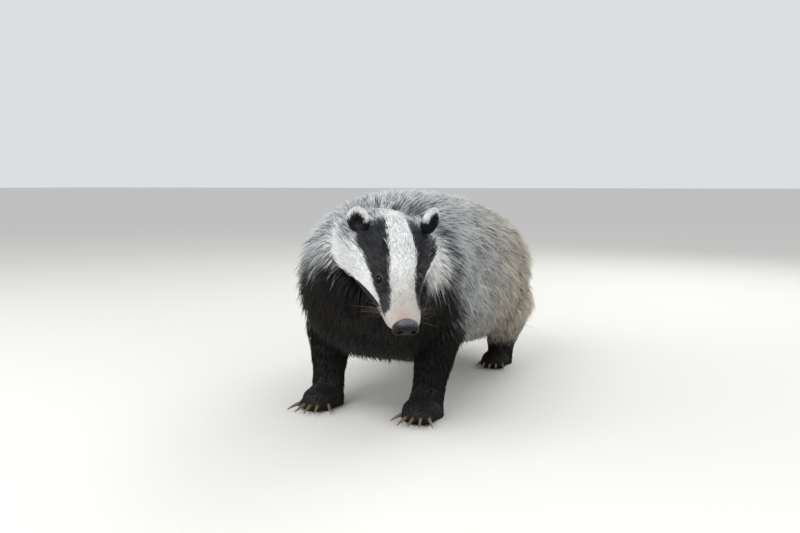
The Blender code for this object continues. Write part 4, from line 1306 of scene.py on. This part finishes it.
            # Hair lies backwards, so it is held back further in front of the eye.
            along = local[:, 0] / np.where(local[:, 0] > 0, 1.3, 1.05)
            gap = np.linalg.norm(np.column_stack([along, local[:, 1:]]) - (0, 0, EYE_RADIUS * 0.6), axis=1)
            short = np.where(gap < 0.0062, 0, 0.55 + 0.45 * smooth_step(0.0062, 0.0100, gap))
            share = np.minimum(share, short)
            gap = np.linalg.norm(points - np.array(self.body.ear(side).translation), axis=1)
            share = np.minimum(share, np.interp(gap, (0.0150, 0.0165, 0.036), (0.0, 0.35, 1.0)))
        return share

    @staticmethod
    def chart(keys: Array) -> Array:
        """Each root's place on an unwrap of the skin by station and angle."""
        last = {Region.SPINE: 12, Region.TAIL: 5, Region.SKULL: 12, Region.JAW: 6, Region.FORELEG: 5, Region.HINDLEG: 5}
        place = np.empty((len(keys), 2))
        place[:, 0] = keys[:, 3] / (2 * math.pi) % 1.0
        place[:, 1] = (keys[:, 2] + 1) / 2
        for region, stations in last.items():
            rows = keys[:, 0] == region.value
            place[rows, 1] = keys[rows, 2] / stations
        # Two forms that share a map lie side by side in it.
        halves = {Region.SKULL: 0, Region.JAW: 1, Region.FORELEG: 0, Region.HINDLEG: 1, Region.FOREFOOT: 0,
                  Region.HINDFOOT: 1}
        for region, half in halves.items():
            rows = keys[:, 0] == region.value
            place[rows, 1] = (place[rows, 1] + half) / 2
        sided = keys[:, 1] != 0
        place[sided, 0] = (place[sided, 0] + (keys[sided, 1] > 0)) / 2
        return place * 0.99 + 0.005

    def build(self, material: bpy.types.Material) -> list[bpy.types.Object]:
        """Every area's tufts, in pieces that ride on the frame.

        Args:
            material: the hair.

        Returns:
            The pieces.
        """
        faces, points, normals = self.triangles()
        regions = self.body.read(points)[:, 0]
        made = []
        for area in self.AREAS:
            tufts, keys = self.grow(area, *self.roots(area, faces, points, normals, regions))
            if area.name == "face":
                self.lift(tufts)
            long_enough = tufts.length > self.SHORTEST
            tufts, keys = tufts.take(long_enough), keys[long_enough]
            each = len(area.form.faces())
            parts = math.ceil(len(tufts.root) * each / self.LARGEST_PIECE)
            order = np.argsort(keys[:, 2], kind="stable")
            for number, rows in enumerate(np.array_split(order, parts), 1):
                piece = tufts.take(rows)
                low, high = piece.place[:, 1].min(), piece.place[:, 1].max()
                piece.place[:, 1] = 0.005 + 0.99 * (piece.place[:, 1] - low) / (high - low)
                name = f"coat_{area.name}_{number}"
                obj = new_object(name, piece.mesh(name, area.form), material)
                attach(obj, ROOT)
                made.append(obj)
                LOG.info("%s: %d tufts", name, len(rows))
        return made


@dataclass(frozen=True)
class HairFinish:
    """Keratin guard hair: each tuft carries its own colour, with a soft gloss along it."""

    name: str = "badger hair keratin"
    roughness: float = 0.52
    streak: float = 0.16

    def make(self) -> bpy.types.Material:
        """The material, which reads the hair's colour from its points and streaks it a little."""
        material = bpy.data.materials.new(self.name)
        material.use_nodes = True
        tree = material.node_tree
        shader = tree.nodes["Principled BSDF"]
        colour = add_node(tree, "ShaderNodeAttribute", attribute_name="hair")
        place = add_node(tree, "ShaderNodeTexCoord")
        # Streaks a few millimetres apart, the width of a few hairs that lie together.
        noise = add_node(tree, "ShaderNodeTexNoise", {"Vector": place.outputs["Object"], "Scale": 260.0, "Detail": 2.0})
        shade = add_node(tree, "ShaderNodeMapRange", {"Value": noise.outputs["Fac"], "To Min": 1 - self.streak,
                                                       "To Max": 1 + self.streak})
        mixed = add_node(tree, "ShaderNodeVectorMath", {0: colour.outputs["Color"]}, operation="SCALE")
        tree.links.new(shade.outputs["Result"], mixed.inputs["Scale"])
        tree.links.new(mixed.outputs["Vector"], shader.inputs["Base Color"])
        shader.inputs["Roughness"].default_value = self.roughness
        shader.inputs["Specular IOR Level"].default_value = 0.24
        return material


@dataclass(frozen=True)
class HideFinish:
    """Skin under short fur: the coat's own colours with the grain of flat-lying hair."""

    name: str = "furred hide"
    roughness: float = 0.7
    grain_mm: float = 0.6

    def make(self) -> bpy.types.Material:
        """The material, rough where furred and a little moist where bare."""
        material = bpy.data.materials.new(self.name)
        material.use_nodes = True
        tree = material.node_tree
        shader = tree.nodes["Principled BSDF"]
        colour = add_node(tree, "ShaderNodeAttribute", attribute_name="hair")
        bare = add_node(tree, "ShaderNodeAttribute", attribute_name="bare")
        place = add_node(tree, "ShaderNodeTexCoord")
        noise = add_node(tree, "ShaderNodeTexNoise", {"Vector": place.outputs["Object"], "Scale": 1000 / self.grain_mm / 2,
                                                      "Detail": 3.0})
        shade = add_node(tree, "ShaderNodeMapRange", {"Value": noise.outputs["Fac"], "To Min": 0.72, "To Max": 1.12})
        mixed = add_node(tree, "ShaderNodeVectorMath", {0: colour.outputs["Color"]}, operation="SCALE")
        tree.links.new(shade.outputs["Result"], mixed.inputs["Scale"])
        tree.links.new(mixed.outputs["Vector"], shader.inputs["Base Color"])
        rough = add_node(tree, "ShaderNodeMapRange", {"Value": bare.outputs["Fac"], "To Min": self.roughness,
                                                       "To Max": 0.35})
        tree.links.new(rough.outputs["Result"], shader.inputs["Roughness"])
        shader.inputs["Specular IOR Level"].default_value = 0.25
        bump = add_node(tree, "ShaderNodeBump", {"Height": noise.outputs["Fac"], "Strength": 0.5, "Distance": 0.0004})
        tree.links.new(bump.outputs["Normal"], shader.inputs["Normal"])
        return material


@dataclass(frozen=True)
class NoseFinish:
    """Moist pebbled leather of the nose pad: violet grey on top, partly its own colour and partly a painted sheen of
    the wet top, near black round the nostrils.
    """

    name: str = "moist nose leather"
    pebble_mm: float = 1.3
    # How dark the grooves between the pebbles are painted: painted shade.
    groove: float = 0.30

    def make(self) -> bpy.types.Material:
        """The material, whose pebbles are small raised cells, painted lighter at their middles and darker in the
        grooves as painted highlights and shade.
        """
        material = bpy.data.materials.new(self.name)
        material.use_nodes = True
        tree = material.node_tree
        shader = tree.nodes["Principled BSDF"]
        colour = add_node(tree, "ShaderNodeAttribute", attribute_name="hair")
        place = add_node(tree, "ShaderNodeTexCoord")
        cells = add_node(tree, "ShaderNodeTexVoronoi", {"Vector": place.outputs["Object"],
                                                        "Scale": 1000 / self.pebble_mm}, feature="F1")
        # The pebbles' middles are painted lighter as painted highlights and the grooves darker as painted shade.
        shade = add_node(tree, "ShaderNodeMapRange", {"Value": cells.outputs["Distance"], "To Min": 1.32,
                                                       "To Max": self.groove})
        mixed = add_node(tree, "ShaderNodeVectorMath", {0: colour.outputs["Color"]}, operation="SCALE")
        tree.links.new(shade.outputs["Result"], mixed.inputs["Scale"])
        tree.links.new(mixed.outputs["Vector"], shader.inputs["Base Color"])
        bump = add_node(tree, "ShaderNodeBump", {"Height": cells.outputs["Distance"], "Strength": 0.9,
                                                 "Distance": 0.0006}, invert=True)
        tree.links.new(bump.outputs["Normal"], shader.inputs["Normal"])
        shader.inputs["Roughness"].default_value = 0.36
        shader.inputs["Specular IOR Level"].default_value = 0.16
        shader.inputs["Coat Weight"].default_value = 0.08
        shader.inputs["Coat Roughness"].default_value = 0.2
        return material


@dataclass(frozen=True)
class EyeFinish:
    """A wet eye: a near black iris under a clear cornea."""

    name: str = "wet cornea"

    def make(self) -> bpy.types.Material:
        """The material, mirror smooth."""
        material = bpy.data.materials.new(self.name)
        material.use_nodes = True
        tree = material.node_tree
        shader = tree.nodes["Principled BSDF"]
        colour = add_node(tree, "ShaderNodeAttribute", attribute_name="hair")
        tree.links.new(colour.outputs["Color"], shader.inputs["Base Color"])
        shader.inputs["Roughness"].default_value = 0.04
        shader.inputs["IOR"].default_value = 1.36
        shader.inputs["Specular IOR Level"].default_value = 0.20
        return material


@dataclass(frozen=True)
class HornFinish:
    """Claw horn: pale brown keratin with fine dark and light lines along it."""

    name: str = "claw horn"
    light: str = "#8C7A63"
    dark: str = "#3A2E25"
    line_mm: float = 0.5

    def make(self) -> bpy.types.Material:
        """The material, with the streaks of worn horn."""
        material = bpy.data.materials.new(self.name)
        material.use_nodes = True
        tree = material.node_tree
        shader = tree.nodes["Principled BSDF"]
        place = add_node(tree, "ShaderNodeTexCoord")
        stretch = add_node(tree, "ShaderNodeMapping", {"Vector": place.outputs["Object"], "Scale": (1.0, 0.12, 1.0)})
        noise = add_node(tree, "ShaderNodeTexNoise", {"Vector": stretch.outputs["Vector"],
                                                      "Scale": 1000 / self.line_mm / 2, "Detail": 3.0})
        ramp = add_node(tree, "ShaderNodeMix", {"Factor": noise.outputs["Fac"]}, data_type="RGBA")
        ramp.inputs["A"].default_value = (*linear(self.dark), 1)
        ramp.inputs["B"].default_value = (*linear(self.light), 1)
        tree.links.new(ramp.outputs["Result"], shader.inputs["Base Color"])
        bump = add_node(tree, "ShaderNodeBump", {"Height": noise.outputs["Fac"], "Strength": 0.3, "Distance": 0.0002})
        tree.links.new(bump.outputs["Normal"], shader.inputs["Normal"])
        shader.inputs["Roughness"].default_value = 0.42
        return material


@dataclass(frozen=True)
class BristleFinish:
    """Whisker keratin: black and smooth."""

    name: str = "whisker keratin"
    colour: str = "#17120F"

    def make(self) -> bpy.types.Material:
        """The material."""
        material = bpy.data.materials.new(self.name)
        material.use_nodes = True
        tree = material.node_tree
        shader = tree.nodes["Principled BSDF"]
        place = add_node(tree, "ShaderNodeTexCoord")
        noise = add_node(tree, "ShaderNodeTexNoise", {"Vector": place.outputs["Object"], "Scale": 300.0})
        ramp = add_node(tree, "ShaderNodeMix", {"Factor": noise.outputs["Fac"]}, data_type="RGBA")
        ramp.inputs["A"].default_value = (*linear(self.colour), 1)
        ramp.inputs["B"].default_value = (*linear("#40362E"), 1)
        tree.links.new(ramp.outputs["Result"], shader.inputs["Base Color"])
        shader.inputs["Roughness"].default_value = 0.4
        return material


@dataclass(frozen=True)
class FloorFinish:
    """Matt painted board, for the studio floor."""

    name: str = "matt painted board"
    colour: str = "#D9D7D2"

    def make(self) -> bpy.types.Material:
        """The material, faintly uneven as rolled paint is."""
        material = bpy.data.materials.new(self.name)
        material.use_nodes = True
        tree = material.node_tree
        shader = tree.nodes["Principled BSDF"]
        place = add_node(tree, "ShaderNodeTexCoord")
        noise = add_node(tree, "ShaderNodeTexNoise", {"Vector": place.outputs["Object"], "Scale": 400.0})
        bump = add_node(tree, "ShaderNodeBump", {"Height": noise.outputs["Fac"], "Strength": 0.05, "Distance": 0.0005})
        tree.links.new(bump.outputs["Normal"], shader.inputs["Normal"])
        shader.inputs["Base Color"].default_value = (*linear(self.colour), 1)
        shader.inputs["Roughness"].default_value = 0.85
        return material


class TaperedSweep:
    """A Geometry Nodes tree that sweeps a tapering oval along every path it is given, for claws and whiskers."""

    def __init__(self) -> None:
        """Builds the tree with its named inputs."""
        tree = bpy.data.node_groups.new("tapered sweep", "GeometryNodeTree")
        self.tree = tree
        tree.interface.new_socket("Geometry", in_out="INPUT", socket_type="NodeSocketGeometry")
        tree.interface.new_socket("Geometry", in_out="OUTPUT", socket_type="NodeSocketGeometry")
        self.ids = {}
        for name, kind in (("Root radius", "NodeSocketFloat"), ("Tip radius", "NodeSocketFloat"),
                           ("Taper power", "NodeSocketFloat"), ("Narrowness", "NodeSocketFloat"),
                           ("Sides", "NodeSocketInt"), ("Material", "NodeSocketMaterial")):
            self.ids[name] = tree.interface.new_socket(name, in_out="INPUT", socket_type=kind).identifier
        inlet = add_node(tree, "NodeGroupInput").outputs
        share = add_node(tree, "GeometryNodeSplineParameter").outputs["Factor"]
        left = add_node(tree, "ShaderNodeMath", {0: 1.0, 1: share}, operation="SUBTRACT").outputs[0]
        curve = add_node(tree, "ShaderNodeMath", {0: left, 1: inlet["Taper power"]}, operation="POWER").outputs[0]
        thick = add_node(tree, "ShaderNodeMath", {0: curve, 1: inlet["Root radius"]}, operation="MULTIPLY").outputs[0]
        radius = add_node(tree, "ShaderNodeMath", {0: thick, 1: inlet["Tip radius"]}, operation="ADD").outputs[0]
        path = add_node(tree, "GeometryNodeSetCurveRadius", {"Curve": inlet["Geometry"], "Radius": radius})
        ring = add_node(tree, "GeometryNodeCurvePrimitiveCircle", {"Resolution": inlet["Sides"], "Radius": 1.0})
        oval = add_node(tree, "ShaderNodeCombineXYZ", {"X": inlet["Narrowness"], "Y": 1.0, "Z": 1.0})
        shaped = add_node(tree, "GeometryNodeTransform", {"Geometry": ring.outputs["Curve"], "Scale": oval.outputs[0]})
        swept = add_node(tree, "GeometryNodeCurveToMesh", {"Curve": path.outputs["Curve"],
                                                           "Profile Curve": shaped.outputs["Geometry"],
                                                           "Fill Caps": True})
        if "Scale" in swept.inputs:
            found = add_node(tree, "GeometryNodeInputRadius").outputs["Radius"]
            tree.links.new(found, swept.inputs["Scale"])
        smooth = add_node(tree, "GeometryNodeSetShadeSmooth", {"Geometry": swept.outputs["Mesh"]})
        real = add_node(tree, "GeometryNodeRealizeInstances", {"Geometry": smooth.outputs["Geometry"]})
        dressed = add_node(tree, "GeometryNodeSetMaterial", {"Geometry": real.outputs["Geometry"],
                                                             "Material": inlet["Material"]})
        add_node(tree, "NodeGroupOutput", {"Geometry": dressed.outputs["Geometry"]})

    def run(self, name: str, paths: list[list[Vector]], **inputs: object) -> bpy.types.Object:
        """Sweeps along some paths.

        Args:
            name: the piece's name.
            paths: the points of each path, from root to tip.
            inputs: the tree's inputs by name, with underscores for spaces.

        Returns:
            A plain mesh object, with no modifier.
        """
        guide = bpy.data.curves.new("guide", "CURVE")
        guide.dimensions = "3D"
        for path in paths:
            spline = guide.splines.new("POLY")
            spline.points.add(len(path) - 1)
            for point, place in zip(spline.points, path):
                point.co = (*place, 1)
        carrier = bpy.data.objects.new("guide", guide)
        bpy.context.scene.collection.objects.link(carrier)
        modifier = carrier.modifiers.new("sweep", "NODES")
        modifier.node_group = self.tree
        for key, value in inputs.items():
            modifier[self.ids[key.replace("_", " ")]] = value
        mesh = evaluated_mesh(carrier)
        bpy.data.objects.remove(carrier)
        bpy.data.curves.remove(guide)
        made = bmesh.new()
        made.from_mesh(mesh)
        bmesh.ops.recalc_face_normals(made, faces=made.faces)
        made.to_mesh(mesh)
        made.free()
        return new_object(name, mesh)


@dataclass
class Claws:
    """Twenty claws, each a curved tapering horn that starts inside its toe."""

    root: float = 0.0036
    drop: float = 0.0095
    points: int = 12
    made: list[bpy.types.Object] = field(default_factory=list)

    def path(self, place: Vector, way: Vector, foot: Foot) -> list[Vector]:
        """The claw's centre line, which bends down towards the ground."""
        start = place + way * (foot.toe * 0.45) + Vector((0, 0, 0.0015))
        found = []
        for k in range(self.points):
            share = k / (self.points - 1)
            rise = 0.003 * share - self.drop * share * share
            point = start + way * (foot.claw * share) + Vector((0, 0, rise))
            point.z = max(point.z, 0.0010)
            found.append(point)
        return found

    def build(self, sweep: TaperedSweep, material: bpy.types.Material) -> None:
        """Makes every claw in place of its solid.

        Args:
            sweep: the tree that sweeps them.
            material: the horn.
        """
        for leg, foot in (("foreleg", FORE), ("hindleg", HIND)):
            for side in Side:
                for number, (place, way) in enumerate(foot.toes(side), 1):
                    node = f"claw_{leg}_{side.name.lower()}_{number}"
                    obj = sweep.run(f"horn_{leg}_{side.name.lower()}_{number}", [self.path(place, way, foot)],
                                    Root_radius=self.root, Tip_radius=0.0004, Taper_power=0.7, Narrowness=0.75,
                                    Sides=12, Material=material)
                    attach(obj, ROOT)
                    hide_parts(node)
                    self.made.append(obj)


@dataclass
class Whiskers:
    """Stiff whiskers on the lips and over the eyes."""

    body: Body
    seed: int = 5
    each_side: int = 18

    def paths(self) -> list[list[Vector]]:
        """Every whisker's line, from inside the lip or brow outwards and back."""
        draw = np.random.default_rng(self.seed)
        found = []
        for side in Side:
            for k in range(self.each_side):
                ahead = 0.118 + 0.020 * draw.random()
                up = -0.008 + 0.013 * draw.random()
                start = Vector((0.0185 * side.value, -ahead, up))
                way = Vector((side.value * draw.uniform(0.5, 1.0), draw.uniform(-0.1, 0.8), draw.uniform(-0.6, 0.2)))
                found.append(self.bow(start, way.normalized(), draw.uniform(0.024, 0.047), draw))
            for k in range(3):
                start = Vector(((0.020 + 0.003 * k) * side.value, -0.084 + 0.004 * k, 0.026))
                way = Vector((side.value * draw.uniform(0.3, 0.6), draw.uniform(0.0, 0.5), draw.uniform(0.5, 0.9)))
                found.append(self.bow(start, way.normalized(), draw.uniform(0.014, 0.022), draw))
        return found

    def bow(self, start: Vector, way: Vector, length: float, draw: np.random.Generator) -> list[Vector]:
        """One bowed line in the row frame."""
        sag = Vector((0, 0.7, -1)) * draw.uniform(0.15, 0.45)
        shares = [k / 8 for k in range(9)]
        return [self.body.head @ (start + (way + sag * share) * (length * share)) for share in shares]

    def build(self, sweep: TaperedSweep, material: bpy.types.Material) -> bpy.types.Object:
        """Makes the whiskers.

        Args:
            sweep: the tree that sweeps them.
            material: the bristle.

        Returns:
            One piece of them all.
        """
        obj = sweep.run("whiskers", self.paths(), Root_radius=0.00020, Tip_radius=0.00005, Taper_power=0.8,
                        Narrowness=1.0, Sides=4, Material=material)
        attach(obj, ROOT)
        return obj


@dataclass
class Eyes:
    """Two dark eyes under a clear cornea."""

    body: Body
    iris: float = 0.0034
    pupil: float = 0.0022

    def build(self, material: bpy.types.Material) -> None:
        """Makes both eyeballs in place of their solids.

        Args:
            material: the wet cornea.
        """
        for side in Side:
            name = side.name.lower()
            matrix = self.body.eye(side)
            obj = from_bmesh(f"eyeball_{name}", ellipsoid([EYE_RADIUS] * 3, matrix, 48, 32))
            points = vertices_of(obj.data)
            back = np.array(matrix.inverted())
            local = points @ back[:3, :3].T + back[:3, 3]
            gap = np.hypot(local[:, 0], local[:, 1])
            count = len(points)
            colour = np.tile(linear("#080505"), (count, 1))
            colour = blend(colour, np.tile(linear("#0F0906"), (count, 1)), smooth_step(0.0042, self.iris, gap))
            colour = blend(colour, np.tile(linear("#020202"), (count, 1)), smooth_step(self.iris, self.pupil, gap))
            set_colours(obj.data, "hair", colour)
            obj.data.shade_smooth()
            obj.data.materials.append(material)
            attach(obj, ROOT)
            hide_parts(f"eye_{name}")


@dataclass
class NosePad:
    """The nose pad: a rounded pad with comma-shaped nostrils and a groove down its middle."""

    body: Body
    voxel: float = 0.00045

    def build(self, material: bpy.types.Material) -> None:
        """Makes the pad in place of its solid.

        Args:
            material: the moist leather.
        """
        head = self.body.head
        place = Matrix.Translation(NOSE_AT)
        forms = [ellipsoid(NOSE_HALF, head @ place, 48, 32)]
        for side in (1, -1):
            wing = Matrix.Translation((0.0104 * side, -0.1530, -0.0020))
            forms.append(ellipsoid((0.0070, 0.0062, 0.0078), head @ wing, 32, 20))
        obj = Skin.fuse("nose_pad", forms, self.voxel)
        for side in (1, -1):
            at = Matrix.Translation((NOSTRIL_AT[0] * side, NOSTRIL_AT[1] - 0.0005, NOSTRIL_AT[2]))
            hole = ellipsoid((0.0034, 0.0066, 0.0031), head @ at, 24, 16)
            boolean(obj, from_bmesh("nostril", hole), "DIFFERENCE", "MANIFOLD")
            turn = Matrix.Rotation(math.radians(14 * side), 4, "Y")
            at = Matrix.Translation((0.0130 * side, -0.1575, -0.0028)) @ turn
            slit = ellipsoid((0.0050, 0.0052, 0.0011), head @ at, 24, 16)
            boolean(obj, from_bmesh("slit", slit), "DIFFERENCE", "MANIFOLD")
        mesh = obj.data
        points, normals = vertices_of(mesh), normals_of(mesh)
        x, ahead, up = self.body.in_head(points).T
        push = -0.0009 * np.exp(-((x / 0.0009) ** 2)) * smooth_step(0.004, -0.002, up) * smooth_step(0.148, 0.154, ahead)
        set_vertices(mesh, points + normals * push[:, None])
        count = len(points)
        # The top is painted violet grey and the front near black: partly the leather's own colours and partly a painted
        # sheen where the wet top faces the light.
        top = smooth_step(0.1535, 0.1445, ahead - 0.6 * up) * smooth_step(-0.0175, -0.0060, x)
        colour = blend(np.tile(linear("#0B0808"), (count, 1)), np.tile(linear("#5F616D"), (count, 1)), top)
        # The nostrils' openings are painted darker still, as painted shade in the hollows.
        hollow = np.zeros(count)
        for side in (1, -1):
            gap = np.sqrt(((x - NOSTRIL_AT[0] * side) / 0.0040) ** 2 + ((up - NOSTRIL_AT[2]) / 0.0035) ** 2)
            hollow = np.maximum(hollow, smooth_step(1.15, 0.85, gap) * (ahead > 0.150))
        colour = blend(colour, np.tile(linear("#080606"), (count, 1)), hollow)
        set_colours(mesh, "hair", colour)
        mesh.shade_smooth()
        mesh.materials.clear()
        mesh.materials.append(material)
        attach(obj, ROOT)
        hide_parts("nose")


@dataclass
class Studio:
    """The floor, the light and the camera."""

    azimuth: float = 23.0
    pitch: float = 6.0
    height: float = 0.362
    back: float = 1.059
    aside: float = 0.020
    lens: float = 35.0

    def camera(self) -> None:
        """Places the camera at the photograph's viewpoint."""
        angle = math.radians(self.azimuth)
        right = Vector((math.cos(angle), math.sin(angle), 0))
        view = Vector((-math.sin(angle), math.cos(angle), 0))
        place = Vector(HEAD_AT) + Vector(STANCE) + right * self.aside - view * self.back
        place.z = self.height
        tilt = math.radians(self.pitch)
        ahead = view * math.cos(tilt) - Vector((0, 0, math.sin(tilt)))
        axes = Matrix((right, right.cross(ahead), -ahead)).transposed().to_4x4()
        data = bpy.data.cameras.new("camera")
        data.lens = self.lens
        data.sensor_width = 36.0
        obj = bpy.data.objects.new("camera", data)
        obj.matrix_world = Matrix.Translation(place) @ axes
        bpy.context.scene.collection.objects.link(obj)
        bpy.context.scene.camera = obj

    def light(self) -> None:
        """Hangs the soft boxes and lights the room evenly."""
        for name, place, power, size in (
            ("key", (-0.5, -1.95, 1.9), 36.0, 1.6),
            ("fill", (1.9, -1.0, 1.1), 14.0, 1.8),
            ("side", (-2.6, -1.3, 1.3), 24.0, 2.0),
            ("back", (0.5, 1.9, 1.8), 24.0, 1.4),
            # Near the viewer, and seen only as the sparkle in the eyes and on the moist nose.
            ("sparkle", (0.05, -1.7, 1.0), 20.0, 0.40),
        ):
            lamp = bpy.data.lights.new(name, "AREA")
            lamp.energy = power
            lamp.size = size
            obj = bpy.data.objects.new(name, lamp)
            obj.visible_diffuse = name != "sparkle"
            obj.location = place
            obj.rotation_euler = (Vector((0.05, -0.1, 0.18)) - Vector(place)).to_track_quat("-Z", "Y").to_euler()
            bpy.context.scene.collection.objects.link(obj)
        world = bpy.data.worlds.new("studio")
        bpy.context.scene.world = world
        world.use_nodes = True
        background = world.node_tree.nodes["Background"]
        background.inputs["Color"].default_value = (*linear("#E1E4E7"), 1)
        background.inputs["Strength"].default_value = 0.95
        bpy.context.scene.view_settings.view_transform = "Standard"

    def floor(self) -> None:
        """Lays a plain pale floor."""
        made = bmesh.new()
        bmesh.ops.create_grid(made, x_segments=1, y_segments=1, size=80.0)
        obj = from_bmesh("floor", made)
        obj.data.materials.append(FloorFinish().make())


def main() -> None:
    """Builds the animal over its frame, piece by piece."""
    logging.basicConfig(level=logging.INFO, format="%(name)s %(relativeCreated)d ms: %(message)s")
    studio = Studio()
    studio.camera()
    studio.light()
    studio.floor()
    body = Body()
    LOG.info("forms placed")
    markings = Markings(body, Hues())
    skin = Skin(body, markings)
    skin.build()
    LOG.info("skin: %d points", len(skin.obj.data.vertices))
    coat = Coat(body, markings, skin.obj, seed=3)
    coat.build(HairFinish().make())
    skin.dress(HideFinish().make())
    Eyes(body).build(EyeFinish().make())
    NosePad(body).build(NoseFinish().make())
    sweep = TaperedSweep()
    Claws().build(sweep, HornFinish().make())
    Whiskers(body).build(sweep, BristleFinish().make())
    LOG.info("eyes, nose, claws and whiskers done")


if __name__ == "__main__":
    main()
